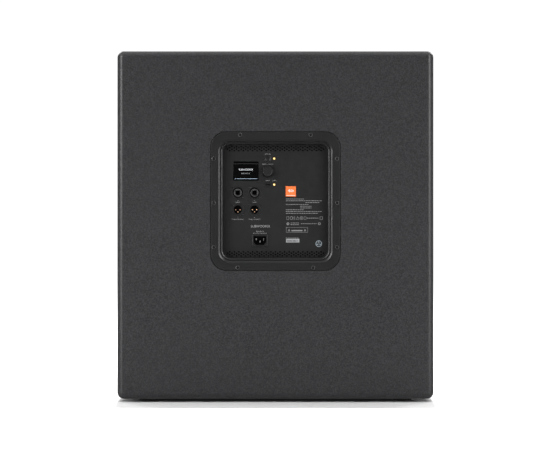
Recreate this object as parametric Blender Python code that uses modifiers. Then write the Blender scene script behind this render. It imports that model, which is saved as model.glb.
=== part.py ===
"""Powered 18-inch subwoofer for a sound system, in metres, +Z up.

The cabinet stands on the plane z = 0, centred on the Z axis. The grille faces -Y and the amplifier's control
panel faces +Y. Every object in the collection "subwoofer" is one piece as it would lie on a workbench.
"""

import math

import bmesh
import bpy
from mathutils import Matrix, Vector

# ---------------------------------------------------------------- driving dimensions
CABINET_WIDTH = 0.602
CABINET_HEIGHT = 0.662
CABINET_DEPTH = 0.640
FOOT_HEIGHT = 0.006
WALL = 0.018
EDGE_RADIUS = 0.012
GAP = 0.0003  # between pieces that touch

LEFT_X = -CABINET_WIDTH / 2
RIGHT_X = CABINET_WIDTH / 2
FRONT_Y = -CABINET_DEPTH / 2
REAR_Y = CABINET_DEPTH / 2
BASE_Z = FOOT_HEIGHT
TOP_Z = BASE_Z + CABINET_HEIGHT
INNER_X = RIGHT_X - WALL
INNER_BASE_Z = BASE_Z + WALL
INNER_TOP_Z = TOP_Z - WALL

# front: grille, baffle, slot port and driver
BAFFLE_FRONT_Y = FRONT_Y + 0.042
PORT_HEIGHT = 0.072
PORT_LENGTH = 0.368
SHELF_TOP_Z = INNER_BASE_Z + PORT_HEIGHT + GAP + WALL
DRIVER_Z = 0.381
DRIVER_HOLE_RADIUS = 0.212
GRILLE_INSET = 0.0035
GRILLE_THICKNESS = 0.0015
GRILLE_CLEARANCE = 0.002
GRILLE_FOLD = 0.014
FOAM_THICKNESS = 0.006

# rear: amplifier module, centred here
AMP_Z = 0.3825
BEZEL_WIDTH = 0.2462
BEZEL_HEIGHT = 0.2640
BEZEL_RADIUS = 0.031
BEZEL_THICKNESS = 0.005
BEZEL_GAP = 0.0010  # shadow line round the bezel
RECESS_WIDTH = 0.1980
RECESS_HEIGHT = 0.2150
RECESS_RADIUS = 0.0145
BEZEL_WALL = 0.006
PANEL_FACE_Y = REAR_Y - 0.022
PANEL_THICKNESS = 0.002
PANEL_BACK_Y = PANEL_FACE_Y - PANEL_THICKNESS
TUB_DEPTH = 0.108
TUB_WALL = 0.0025
TUB_BACK_Y = PANEL_BACK_Y - GAP - TUB_DEPTH

# perforated vent strips: a 60 degree pattern turned so that its rows are half a pitch apart
VENT_COLUMN_STEP = 0.00437
VENT_ROW_STEP = 0.00262
VENT_HOLE_RADIUS = 0.00155
VENT_COLUMNS = 43
VENT_ROWS = 4
VENT_STRIP_Z = 0.1008  # from the panel's centre to the middle of a strip

# controls and sockets on the panel, (x, z) from the panel's centre; +X is the left side seen from behind
DISPLAY = (0.0565, 0.0577)
DISPLAY_SIZE = (0.0487, 0.0366)
MENU = (0.0146, 0.0566)
POWER_BUTTON = (0.0144, 0.0810)
POWER_LED = (0.0023, 0.0815)
DATA_PORT = (0.0144, 0.0320)
LIMIT_LED = (0.0023, 0.0318)
SOCKET_X = {"a": 0.0719, "b": 0.0399}
COMBO_Z = 0.0163
THRU_Z = -0.0161
MAINS_INLET = (0.0296, -0.0753)

# screws through the bezel, (x, z) from the panel's centre
BEZEL_SCREWS = (
    (0.0670, 0.1258),
    (-0.0670, 0.1258),
    (0.1172, 0.0804),
    (0.1172, -0.0034),
    (0.1172, -0.0877),
    (-0.1172, 0.0804),
    (-0.1172, -0.0034),
    (-0.1172, -0.0877),
    (0.0718, -0.1266),
    (-0.0718, -0.1266),
)
SCREW_HEAD_RADIUS = 0.0037
SCREW_HEAD_HEIGHT = 0.0021
SCREW_SHANK_RADIUS = 0.0018
SCREW_LENGTH = 0.016

HANDLE_Z = 0.400
HANDLE_LENGTH = 0.240
HANDLE_HEIGHT = 0.130
CUP_LENGTH = 0.200
CUP_HEIGHT = 0.100
CUP_DEPTH = 0.060

POLE_Y = -0.020
FOOT_X = 0.245
FOOT_Y = 0.262

ROUND = 24  # sides of a large turned piece
SMALL_ROUND = 16  # sides of a small one

AXIS_TURN = {
    "X": Matrix.Rotation(math.pi / 2, 4, "Y"), "Y": Matrix.Rotation(-math.pi / 2, 4, "X"), "Z": Matrix()
}


# ---------------------------------------------------------------- scene, materials and helpers
def clear_scene():
    for obj in list(bpy.data.objects):
        bpy.data.objects.remove(obj)


def new_collection(name):
    collection = bpy.data.collections.new(name)
    bpy.context.scene.collection.children.link(collection)
    return collection


def material(name, colour, roughness, metallic=0.0):
    made = bpy.data.materials.new(name)
    made.use_nodes = True
    shader = made.node_tree.nodes["Principled BSDF"]
    shader.inputs["Base Color"].default_value = (*colour, 1.0)
    shader.inputs["Roughness"].default_value = roughness
    shader.inputs["Metallic"].default_value = metallic
    return made


clear_scene()
PARTS = new_collection("subwoofer")
CUTTERS = new_collection("cutters")

COATED_WOOD = material("coated_wood", (0.045, 0.045, 0.048), 0.75)
BARE_WOOD = material("bare_wood", (0.42, 0.30, 0.18), 0.8)
BLACK_STEEL = material("black_steel", (0.02, 0.02, 0.02), 0.5, 0.6)
CAST_ALUMINIUM = material("cast_aluminium", (0.03, 0.03, 0.03), 0.5, 0.6)
FOAM = material("foam", (0.015, 0.015, 0.015), 0.95)
RUBBER = material("rubber", (0.012, 0.012, 0.012), 0.85)
BLACK_PLASTIC = material("black_plastic", (0.03, 0.03, 0.032), 0.45)
PANEL_PAINT = material("panel_paint", (0.026, 0.026, 0.028), 0.5, 0.2)
PAPER_CONE = material("paper_cone", (0.03, 0.03, 0.03), 0.8)
CLOTH = material("treated_cloth", (0.30, 0.22, 0.10), 0.9)
FERRITE = material("ferrite", (0.05, 0.05, 0.055), 0.7)
BARE_STEEL = material("bare_steel", (0.55, 0.55, 0.57), 0.35, 1.0)
ALUMINIUM = material("aluminium", (0.62, 0.62, 0.64), 0.35, 1.0)
BOARD_GREEN = material("board_green", (0.02, 0.11, 0.05), 0.55)
SCREEN_GLASS = material("screen_glass", (0.004, 0.004, 0.005), 0.08)
LED_AMBER = material("led_amber", (1.0, 0.75, 0.30), 0.3)
CABLE_JACKET = material("cable_jacket", (0.02, 0.02, 0.02), 0.5)


def add_object(name, mesh, look=None, location=(0, 0, 0), turn="Z"):
    """A piece if it has a material, and otherwise a cutter."""
    obj = bpy.data.objects.new(name, mesh)
    obj.matrix_world = Matrix.Translation(location) @ AXIS_TURN[turn]
    if look:
        mesh.materials.append(look)
        PARTS.objects.link(obj)
    else:
        obj.hide_render = True
        obj.display_type = "WIRE"
        CUTTERS.objects.link(obj)
    return obj


def mesh_from(name, bm):
    bmesh.ops.recalc_face_normals(bm, faces=bm.faces)
    mesh = bpy.data.meshes.new(name)
    bm.to_mesh(mesh)
    bm.free()
    return mesh


def block(name, low, high, look=None, radius=0.0, along="Z", segments=4):
    """A box between two corners, its four edges parallel to one axis rounded."""
    low, high = Vector(low), Vector(high)
    size = high - low
    bm = bmesh.new()
    bmesh.ops.create_cube(bm, size=1.0)
    bmesh.ops.scale(bm, vec=size, verts=bm.verts)
    if radius:
        axis = "XYZ".index(along)
        edges = [e for e in bm.edges if abs((e.verts[0].co - e.verts[1].co)[axis]) > size[axis] / 2]
        bmesh.ops.bevel(bm, geom=edges, offset=radius, segments=segments, profile=0.5, affect="EDGES")
    return add_object(name, mesh_from(name, bm), look, (low + high) / 2)


def rod(name, centre, radius, length, look=None, along="Y", sides=SMALL_ROUND, tip_radius=None):
    """A cylinder that runs from its centre along +axis for its length, or a cone if it has a tip radius."""
    bm = bmesh.new()
    tip = radius if tip_radius is None else tip_radius
    lift = Matrix.Translation((0, 0, length / 2))
    bmesh.ops.create_cone(
        bm, cap_ends=True, segments=sides, radius1=radius, radius2=tip, depth=length, matrix=lift
    )
    obj = add_object(name, mesh_from(name, bm), look, centre, along)
    smooth(obj)
    return obj


def turned(name, profile, look, centre, along="Y", sides=ROUND):
    """A profile of (radius, height) points turned about the axis; it runs clockwise with height upwards."""
    mesh = bpy.data.meshes.new(name)
    points = [(radius, 0.0, height) for radius, height in profile]
    edges = [(i, i + 1) for i in range(len(points) - 1)]
    if profile[0][0] > 0:
        edges.append((len(points) - 1, 0))
    mesh.from_pydata(points, edges, [])
    obj = add_object(name, mesh, look, centre, along)
    screw = obj.modifiers.new("turn", "SCREW")
    screw.steps = screw.render_steps = sides
    screw.use_merge_vertices = True
    screw.merge_threshold = 0.00001
    screw.use_smooth_shade = True
    return obj


def smooth(obj):
    obj.data.shade_smooth()
    obj.data.set_sharp_from_angle(angle=math.radians(35))


def boolean(obj, other, operation):
    modifier = obj.modifiers.new(operation.lower(), "BOOLEAN")
    modifier.operation = operation
    modifier.object = other
    modifier.solver = "EXACT"


def cut(obj, *cutters):
    for cutter in cutters:
        boolean(obj, cutter, "DIFFERENCE")


def join(obj, *others):
    for other in others:
        boolean(obj, other, "UNION")


def panel_point(place, y):
    """A point on the control panel from its (x, z) place."""
    return (place[0], y, AMP_Z + place[1])


def combined(name, objects):
    """One cutter holding the meshes of several that don't touch."""
    bm = bmesh.new()
    for obj in objects:
        mesh = obj.data.copy()
        mesh.transform(obj.matrix_world)
        bm.from_mesh(mesh)
        bpy.data.meshes.remove(mesh)
        bpy.data.objects.remove(obj)
    mesh = bpy.data.meshes.new(name)
    bm.to_mesh(mesh)
    bm.free()
    return add_object(name, mesh)


# ---------------------------------------------------------------- cabinet panels
def cabinet_outline():
    """The whole cabinet's rounded outside, which each outer panel is a slice of."""
    outline = block("cabinet_outline", (LEFT_X, FRONT_Y, BASE_Z), (RIGHT_X, REAR_Y, TOP_Z))
    bevel = outline.modifiers.new("round_edges", "BEVEL")
    bevel.width = EDGE_RADIUS
    bevel.segments = 4
    return outline


def outer_panel(name, low, high, outline):
    panel = block(name, low, high, COATED_WOOD)
    boolean(panel, outline, "INTERSECT")
    return panel


def side_panel(name, side, outline):
    """side is 1 for the +X panel and -1 for the -X one. Each has a pocket for a recessed handle."""
    outside = 0.001
    x = sorted((side * INNER_X, side * (RIGHT_X + outside)))
    low = (x[0], FRONT_Y - outside, BASE_Z - outside)
    high = (x[1], REAR_Y + outside, TOP_Z + outside)
    panel = outer_panel(name, low, high, outline)
    half_y = HANDLE_LENGTH / 2 + GAP
    half_z = HANDLE_HEIGHT / 2 + GAP
    x = sorted((side * (RIGHT_X - 0.0033), side * (RIGHT_X + outside)))
    rebate = block(
        name + "_rebate",
        (x[0], -half_y, HANDLE_Z - half_z),
        (x[1], half_y, HANDLE_Z + half_z),
        None,
        0.018,
        "X",
        3,
    )
    half_y = CUP_LENGTH / 2 + GAP
    half_z = CUP_HEIGHT / 2 + GAP
    x = sorted((side * (INNER_X - 0.005), side * (RIGHT_X + outside)))
    opening = block(
        name + "_opening",
        (x[0], -half_y, HANDLE_Z - half_z),
        (x[1], half_y, HANDLE_Z + half_z),
        None,
        0.020,
        "X",
        3,
    )
    cut(panel, rebate, opening)


def back_panel():
    panel = block(
        "back_panel",
        (-INNER_X + GAP, REAR_Y - WALL, INNER_BASE_Z + GAP),
        (INNER_X - GAP, REAR_Y, INNER_TOP_Z - GAP),
        COATED_WOOD,
    )
    half_x = BEZEL_WIDTH / 2 + BEZEL_GAP
    half_z = BEZEL_HEIGHT / 2 + BEZEL_GAP
    floor_y = REAR_Y - BEZEL_THICKNESS - GAP
    radius = BEZEL_RADIUS + BEZEL_GAP
    rebate = block(
        "bezel_rebate",
        (-half_x, floor_y, AMP_Z - half_z),
        (half_x, REAR_Y + 0.002, AMP_Z + half_z),
        None,
        radius,
        "Y",
        6,
    )
    half_x = RECESS_WIDTH / 2 + BEZEL_WALL + 0.002
    half_z = RECESS_HEIGHT / 2 + BEZEL_WALL + 0.002
    opening = block(
        "amp_opening",
        (-half_x, REAR_Y - 2 * WALL, AMP_Z - half_z),
        (half_x, REAR_Y + 0.002, AMP_Z + half_z),
        None,
        0.0225,
        "Y",
        4,
    )
    pilots = [
        rod(f"pilot_{i}", panel_point(place, REAR_Y - 0.0168), SCREW_SHANK_RADIUS + GAP, 0.015, sides=8)
        for i, place in enumerate(BEZEL_SCREWS)
    ]
    cut(panel, rebate, opening, combined("pilot_holes", pilots))


def front_baffle():
    baffle = block(
        "front_baffle",
        (-INNER_X + GAP, BAFFLE_FRONT_Y, SHELF_TOP_Z + GAP),
        (INNER_X - GAP, BAFFLE_FRONT_Y + WALL, INNER_TOP_Z - GAP),
        COATED_WOOD,
    )
    start = (0, BAFFLE_FRONT_Y - 0.01, DRIVER_Z)
    cut(baffle, rod("driver_hole", start, DRIVER_HOLE_RADIUS, WALL + 0.02, sides=30))


def slot_port():
    """A shelf above the floor of the cabinet makes the bass port, and a rib stiffens it in the middle."""
    shelf_low = INNER_BASE_Z + PORT_HEIGHT + GAP
    rear = BAFFLE_FRONT_Y + PORT_LENGTH
    block(
        "port_shelf",
        (-INNER_X + GAP, BAFFLE_FRONT_Y, shelf_low),
        (INNER_X - GAP, rear, SHELF_TOP_Z),
        COATED_WOOD,
    )
    block(
        "port_rib",
        (-WALL / 2, BAFFLE_FRONT_Y, INNER_BASE_Z + GAP),
        (WALL / 2, rear, shelf_low - GAP),
        COATED_WOOD,
    )


def cabinet():
    outline = cabinet_outline()
    outside = 0.001
    for name, z in (
        ("top_panel", (INNER_TOP_Z, TOP_Z + outside)), ("bottom_panel", (BASE_Z - outside, INNER_BASE_Z))
    ):
        low = (-INNER_X + GAP, FRONT_Y - outside, z[0])
        high = (INNER_X - GAP, REAR_Y + outside, z[1])
        panel = outer_panel(name, low, high, outline)
        if name == "top_panel":
            rebate = rod("pole_rebate", (0, POLE_Y, TOP_Z - 0.0033), 0.0383, 0.01, along="Z", sides=24)
            hole = rod("pole_hole", (0, POLE_Y, INNER_TOP_Z - 0.005), 0.0183, 0.03, along="Z", sides=20)
            cut(panel, rebate, hole)
    side_panel("right_side_panel", 1, outline)
    side_panel("left_side_panel", -1, outline)
    back_panel()
    front_baffle()
    slot_port()
    block("cross_brace", (-INNER_X + GAP, 0.120, 0.360), (INNER_X - GAP, 0.138, 0.422), BARE_WOOD)


def grille():
    """A folded steel tray over the whole front, with acoustic foam behind it."""
    half_x = INNER_X - GRILLE_CLEARANCE
    low_z = INNER_BASE_Z + GRILLE_CLEARANCE
    high_z = INNER_TOP_Z - GRILLE_CLEARANCE
    front = FRONT_Y + GRILLE_INSET
    tray = block(
        "grille", (-half_x, front, low_z), (half_x, front + GRILLE_FOLD, high_z), BLACK_STEEL, 0.005, "Y", 2
    )
    t = GRILLE_THICKNESS
    hollow = block(
        "grille_hollow",
        (-half_x + t, front + t, low_z + t),
        (half_x - t, front + 0.03, high_z - t),
        None,
        0.004,
        "Y",
        2,
    )
    cut(tray, hollow)
    edge = t + 0.001
    block(
        "grille_foam",
        (-half_x + edge, front + t + GAP, low_z + edge),
        (half_x - edge, front + t + GAP + FOAM_THICKNESS, high_z - edge),
        FOAM,
        0.004,
        "Y",
        2,
    )


def feet():
    for end, y in (("front", -FOOT_Y), ("rear", FOOT_Y)):
        for hand, x in (("left", -FOOT_X), ("right", FOOT_X)):
            rod(f"foot_{end}_{hand}", (x, y, 0), 0.0175, FOOT_HEIGHT - GAP, RUBBER, "Z", 18, 0.0195)


def pole_socket():
    """A cup with a long nut for a threaded pole, let into the top panel. Its profile runs clockwise."""
    thread_radius = 0.0095
    profile = (
        (0, 0.0560),
        (0.0180, 0.0560),
        (0.0180, 0.0030),
        (0.0380, 0.0030),
        (0.0380, 0.0),
        (0.0130, 0.0),
        (thread_radius, 0.0035),
        (thread_radius, 0.0500),
        (0, 0.0500),
    )
    downwards = [(radius, -depth) for radius, depth in reversed(profile)]
    turned("pole_socket", downwards, BLACK_STEEL, (0, POLE_Y, TOP_Z - 0.0001), "Z", 24)


def side_handle(name, side):
    """A moulded cup with a grip bar across it, let into a side panel."""
    face = RIGHT_X - 0.0002

    def slab(label, depths, half_y, half_z, radius, look=None):
        x = sorted((side * (face - depths[0]), side * (face - depths[1])))
        low = (x[0], -half_y, HANDLE_Z - half_z)
        high = (x[1], half_y, HANDLE_Z + half_z)
        return block(label, low, high, look, radius, "X", 3)

    wall = 0.0025
    plate = slab(name, (0, 0.0030), HANDLE_LENGTH / 2, HANDLE_HEIGHT / 2, 0.0177, BLACK_PLASTIC)
    cup = slab(name + "_cup", (0.0005, CUP_DEPTH), CUP_LENGTH / 2, CUP_HEIGHT / 2, 0.0197)
    hollow = slab(
        name + "_hollow", (-0.002, CUP_DEPTH - wall), CUP_LENGTH / 2 - wall, CUP_HEIGHT / 2 - wall, 0.0172
    )
    join(plate, cup)
    cut(plate, hollow)
    grip_start = (side * (face - 0.0155), -CUP_LENGTH / 2 + wall / 2, HANDLE_Z + 0.0220)
    join(plate, rod(name + "_grip", grip_start, 0.0130, CUP_LENGTH - wall, along="Y", sides=12))


# ---------------------------------------------------------------- driver, turned about the Y axis
def driver_turned(name, profile, look, sides=ROUND):
    """Heights are distances behind the baffle's front face."""
    return turned(name, profile, look, (0, BAFFLE_FRONT_Y, DRIVER_Z), "Y", sides)


def ring(name, inner, outer, front, back, look, sides=ROUND):
    return driver_turned(name, [(inner, back), (outer, back), (outer, front), (inner, front)], look, sides)


CONE_RIM_RADIUS = 0.175
CONE_NECK_RADIUS = 0.0510
CONE_NECK_DEPTH = 0.0770
CONE_RIM_DEPTH = -0.0040
CONE_THICKNESS = 0.0018


def cone_depth(radius):
    """Depth of the cone's front surface, which curves a little from rim to neck."""
    share = (CONE_RIM_RADIUS - radius) / (CONE_RIM_RADIUS - CONE_NECK_RADIUS)
    return CONE_RIM_DEPTH + (CONE_NECK_DEPTH - CONE_RIM_DEPTH) * (1.12 * share - 0.12 * share * share)


def driver_basket():
    """Cast frame: flange on the baffle, conical wall with six windows, seats for spider and magnet."""
    profile = (
        (0.056, 0.128),
        (0.112, 0.128),
        (0.120, 0.104),
        (0.207, -GAP),
        (0.230, -GAP),
        (0.230, -0.0063),
        (0.203, -0.0063),
        (0.203, -0.0025),
        (0.116, 0.098),
        (0.106, 0.098),
        (0.106, 0.124),
        (0.056, 0.124),
    )
    basket = driver_turned("driver_basket", profile, CAST_ALUMINIUM, 30)
    for turn in range(3):
        window = block(f"basket_window_{turn}", (-0.25, -0.030, 0.022), (0.25, 0.030, 0.082))
        place = Matrix.Translation((0, BAFFLE_FRONT_Y, DRIVER_Z)) @ AXIS_TURN["Y"]
        spin = Matrix.Rotation(turn * math.pi / 3, 4, "Z")
        window.matrix_world = place @ spin @ Matrix.Translation((0, 0, 0.052))
        cut(basket, window)


def surround():
    """A half roll of rubber between the cone's rim and the basket's flange."""
    middle, roll, thickness, seat = 0.194, 0.0100, 0.0012, -0.0066
    arc_steps = 5
    back, front = [(0.176, seat)], [(0.176, seat - thickness)]
    for i in range(arc_steps + 1):
        angle = math.pi * (1 - i / arc_steps)
        for side, radius, base in ((back, roll - thickness, seat), (front, roll, seat - thickness)):
            side.append((middle + radius * math.cos(angle), base - radius * math.sin(angle)))
    back.append((0.213, seat))
    front.append((0.213, seat - thickness))
    driver_turned("surround", back + front[::-1], RUBBER)


def cone():
    steps = 3
    radii = [CONE_RIM_RADIUS + (CONE_NECK_RADIUS - CONE_RIM_RADIUS) * i / steps for i in range(steps + 1)]
    front = [(0.183, -0.0062), (0.177, -0.0062)] + [(r, cone_depth(r)) for r in radii]
    back = [(0.183, -0.0062 + CONE_THICKNESS)]
    back += [(r + 0.0006, cone_depth(r) + CONE_THICKNESS) for r in radii[:-1]]
    neck = CONE_NECK_RADIUS + 0.0025
    back += [(neck, CONE_NECK_DEPTH + 0.002), (neck, 0.084), (CONE_NECK_RADIUS, 0.084)]
    driver_turned("cone", back[::-1] + front, PAPER_CONE)


def dust_cap():
    rim_radius, rise, thickness, steps = 0.060, 0.0150, 0.0012, 4
    rim_depth = cone_depth(rim_radius) - 0.0018
    front = []
    for i in range(steps + 1):
        radius = rim_radius * i / steps
        front.append((radius, rim_depth - rise * (1 - (radius / rim_radius) ** 2)))
    back = [(radius, depth + thickness) for radius, depth in front]
    driver_turned("dust_cap", back + front[::-1], PAPER_CONE)


def voice_coil():
    """The former's tube with the winding on its rear end."""
    profile = (
        (0.0498, 0.146),
        (0.0520, 0.146),
        (0.0520, 0.124),
        (0.0506, 0.124),
        (0.0506, 0.072),
        (0.0498, 0.072),
    )
    driver_turned("voice_coil", profile, CLOTH)


def spider():
    """A corrugated cloth disc that centres the coil."""
    inner, flat, outer, thickness, folds = 0.0510, 0.1060, 0.1150, 0.0010, 6
    front = [(inner, 0.0920)]
    for i in range(1, folds):
        front.append((inner + (flat - inner) * i / folds, 0.0945 + (0.0018 if i % 2 else -0.0018)))
    front += [(flat, 0.0965), (outer, 0.0965)]
    back = [(radius, depth + thickness) for radius, depth in front]
    driver_turned("spider", back + front[::-1], CLOTH)


def driver():
    driver_basket()
    surround()
    cone()
    dust_cap()
    voice_coil()
    spider()
    ring("top_plate", 0.0532, 0.100, 0.1283, 0.1383, BARE_STEEL)
    ring("ferrite_magnet", 0.062, 0.110, 0.1386, 0.1636, FERRITE)
    yoke = (
        (0.0150, 0.1759),
        (0.1060, 0.1759),
        (0.1060, 0.1639),
        (0.0482, 0.1639),
        (0.0482, 0.1283),
        (0.0150, 0.1283),
    )
    driver_turned("pole_yoke", yoke, BARE_STEEL)


def speaker_cable():
    """From the amplifier housing to the driver in a shallow sag; the points are on a Catmull-Rom curve."""
    route = [
        Vector((-0.060, TUB_BACK_Y - 0.0020, 0.330)),
        Vector((-0.062, 0.140, 0.318)),
        Vector((-0.074, 0.060, 0.272)),
        Vector((-0.090, -0.030, 0.250)),
        Vector((-0.098, -0.100, 0.258)),
        Vector((-0.097, -0.150, 0.284)),
    ]
    steps = 4
    padded = [2 * route[0] - route[1], *route, 2 * route[-1] - route[-2]]
    points = []
    for a, b, c, d in zip(padded, padded[1:], padded[2:], padded[3:], strict=False):
        for i in range(steps):
            t = i / steps
            straight = 2 * b + (c - a) * t
            bend = (2 * a - 5 * b + 4 * c - d) * t**2 + (3 * b - 3 * c + d - a) * t**3
            points.append(0.5 * (straight + bend))
    points.append(route[-1])
    curve = bpy.data.curves.new("speaker_cable", "CURVE")
    curve.dimensions = "3D"
    curve.bevel_depth = 0.0032
    curve.bevel_resolution = 2
    curve.use_fill_caps = True
    spline = curve.splines.new("POLY")
    spline.points.add(len(points) - 1)
    for point, place in zip(spline.points, points, strict=True):
        point.co = (*place, 1)
    add_object("speaker_cable", curve, CABLE_JACKET)


# ---------------------------------------------------------------- amplifier module
def loft(name, rings, look):
    """A closed frame through rings of (width, height, corner radius, y) with equal counts of points."""
    corner_steps = 6
    bm = bmesh.new()
    loops = []
    for width, height, radius, y in rings:
        loop = []
        for quarter in range(4):
            sign_x = 1 if quarter in (0, 3) else -1
            sign_z = 1 if quarter in (0, 1) else -1
            for i in range(corner_steps + 1):
                angle = (quarter + i / corner_steps) * math.pi / 2
                x = sign_x * (width / 2 - radius) + radius * math.cos(angle)
                z = sign_z * (height / 2 - radius) + radius * math.sin(angle)
                loop.append(bm.verts.new((x, y, z)))
        loops.append(loop)
    for first, second in zip(loops, loops[1:] + loops[:1], strict=True):
        count = len(first)
        for i in range(count):
            j = (i + 1) % count
            bm.faces.new((first[i], first[j], second[j], second[i]))
    obj = add_object(name, mesh_from(name, bm), look, (0, 0, AMP_Z))
    smooth(obj)
    return obj


def amp_bezel():
    """Moulded frame: a flat flange, two rounded steps down, and a wall that reaches the panel."""
    flange_back = REAR_Y - BEZEL_THICKNESS
    wall_end = PANEL_FACE_Y + GAP
    wall_width = RECESS_WIDTH + 2 * BEZEL_WALL
    wall_height = RECESS_HEIGHT + 2 * BEZEL_WALL
    rings = (
        (BEZEL_WIDTH, BEZEL_HEIGHT, BEZEL_RADIUS, flange_back),
        (BEZEL_WIDTH, BEZEL_HEIGHT, BEZEL_RADIUS, REAR_Y - 0.0008),
        (BEZEL_WIDTH - 0.0016, BEZEL_HEIGHT - 0.0016, BEZEL_RADIUS - 0.0008, REAR_Y),
        (0.2175, 0.2350, 0.0220, REAR_Y),
        (0.2126, 0.2298, 0.0205, REAR_Y - 0.0012),
        (0.2094, 0.2264, 0.0190, REAR_Y - 0.0040),
        (0.2054, 0.2226, 0.0175, REAR_Y - 0.0042),
        (0.2010, 0.2182, 0.0160, REAR_Y - 0.0054),
        (RECESS_WIDTH, RECESS_HEIGHT, RECESS_RADIUS, REAR_Y - 0.0085),
        (RECESS_WIDTH, RECESS_HEIGHT, RECESS_RADIUS, wall_end),
        (wall_width, wall_height, 0.0205, wall_end),
        (wall_width, wall_height, 0.0205, flange_back),
    )
    bezel = loft("amp_bezel", rings, BLACK_PLASTIC)
    holes = []
    for i, place in enumerate(BEZEL_SCREWS):
        holes.append(
            rod(
                f"clearance_{i}",
                panel_point(place, flange_back - 0.001),
                SCREW_SHANK_RADIUS + GAP,
                0.0045,
                sides=8,
            )
        )
    counterbores = []
    for i, place in enumerate(BEZEL_SCREWS):
        start = panel_point(place, REAR_Y - SCREW_HEAD_HEIGHT - 0.0005)
        counterbores.append(rod(f"counterbore_{i}", start, SCREW_HEAD_RADIUS + 0.0004, 0.006, sides=12))
    cut(bezel, combined("clearance_holes", holes), combined("counterbores", counterbores))


def bezel_screws():
    head_y = REAR_Y - 0.0002 - SCREW_HEAD_HEIGHT
    for i, place in enumerate(BEZEL_SCREWS, 1):
        name = f"bezel_screw_{i:02d}"
        head = rod(
            name,
            panel_point(place, head_y),
            SCREW_HEAD_RADIUS,
            SCREW_HEAD_HEIGHT,
            BLACK_STEEL,
            sides=12,
            tip_radius=0.0029,
        )
        shank_length = SCREW_LENGTH - SCREW_HEAD_HEIGHT
        shank = rod(
            name + "_shank",
            panel_point(place, head_y - shank_length),
            0.0008,
            shank_length + 0.0005,
            sides=6,
            tip_radius=SCREW_SHANK_RADIUS,
        )
        socket = rod(name + "_socket", panel_point(place, head_y + 0.0008), 0.0015, 0.003, sides=6)
        join(head, shank)
        cut(head, socket)


def vent_holes():
    """Both strips. The outermost row stops short at each end, where the panel's corners are round."""
    middle = VENT_COLUMNS // 2
    holes = []
    for side in (1, -1):
        for row in range(VENT_ROWS):
            z = side * (VENT_STRIP_Z + (1.5 - row) * VENT_ROW_STEP)
            for column in range(VENT_COLUMNS):
                at_end = column in (0, VENT_COLUMNS - 1)
                if column % 2 != row % 2 or (row == 0 and at_end):
                    continue
                start = panel_point(((column - middle) * VENT_COLUMN_STEP, z), PANEL_BACK_Y - 0.001)
                holes.append(rod(f"vent_{len(holes)}", start, VENT_HOLE_RADIUS, 0.004, sides=6))
    return combined("vent_holes", holes)


def panel_opening(name, place, size, radius=0.001, segments=2):
    low = panel_point((place[0] - size[0] / 2, place[1] - size[1] / 2), PANEL_BACK_Y - 0.001)
    high = panel_point((place[0] + size[0] / 2, place[1] + size[1] / 2), PANEL_FACE_Y + 0.001)
    return block(name, low, high, None, radius, "Y", segments)


def panel_hole(name, place, radius, sides=SMALL_ROUND):
    return rod(name, panel_point(place, PANEL_BACK_Y - 0.001), radius, PANEL_THICKNESS + 0.002, sides=sides)


SOCKET_BARREL_RADIUS = 0.0118
BUTTON_RADIUS = 0.0062
LED_RADIUS = 0.0020
INLET_BODY = (0.0266, 0.0196)


def amp_panel():
    """Painted steel plate that carries the controls, between the bezel's wall and the tub's rim."""
    half_x = RECESS_WIDTH / 2 + BEZEL_WALL
    half_z = RECESS_HEIGHT / 2 + BEZEL_WALL
    panel = block(
        "amp_panel",
        (-half_x, PANEL_BACK_Y, AMP_Z - half_z),
        (half_x, PANEL_FACE_Y, AMP_Z + half_z),
        PANEL_PAINT,
        0.0205,
        "Y",
        4,
    )
    openings = [
        panel_opening("display_opening", DISPLAY, (DISPLAY_SIZE[0] + 2 * GAP, DISPLAY_SIZE[1] + 2 * GAP)),
        panel_opening("data_opening", DATA_PORT, (0.0110 + 2 * GAP, 0.0096 + 2 * GAP), 0.002),
        panel_opening("inlet_opening", MAINS_INLET, (INLET_BODY[0] + 2 * GAP, INLET_BODY[1] + 2 * GAP)),
        panel_hole("menu_hole", MENU, 0.0048, 12),
        panel_hole("power_hole", POWER_BUTTON, BUTTON_RADIUS + GAP),
        panel_hole("power_led_hole", POWER_LED, LED_RADIUS + GAP, 8),
        panel_hole("limit_led_hole", LIMIT_LED, LED_RADIUS + GAP, 8),
    ]
    for hand, x in SOCKET_X.items():
        openings.append(panel_hole(f"combo_hole_{hand}", (x, COMBO_Z), SOCKET_BARREL_RADIUS + GAP, 20))
        openings.append(panel_hole(f"thru_hole_{hand}", (x, THRU_Z), SOCKET_BARREL_RADIUS + GAP, 20))
    cut(panel, combined("panel_openings", openings), vent_holes())


def amp_tub():
    """The housing that keeps the electronics apart from the air inside the cabinet."""
    half_x = RECESS_WIDTH / 2 + BEZEL_WALL
    half_z = RECESS_HEIGHT / 2 + BEZEL_WALL
    front = PANEL_BACK_Y - GAP
    tub = block(
        "amp_tub",
        (-half_x, TUB_BACK_Y, AMP_Z - half_z),
        (half_x, front, AMP_Z + half_z),
        BLACK_PLASTIC,
        0.0205,
        "Y",
        3,
    )
    half_x -= TUB_WALL
    half_z -= TUB_WALL
    hollow = block(
        "tub_hollow",
        (-half_x, TUB_BACK_Y + TUB_WALL, AMP_Z - half_z),
        (half_x, front + 0.01, AMP_Z + half_z),
        None,
        0.018,
        "Y",
        3,
    )
    cut(tub, hollow)


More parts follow.
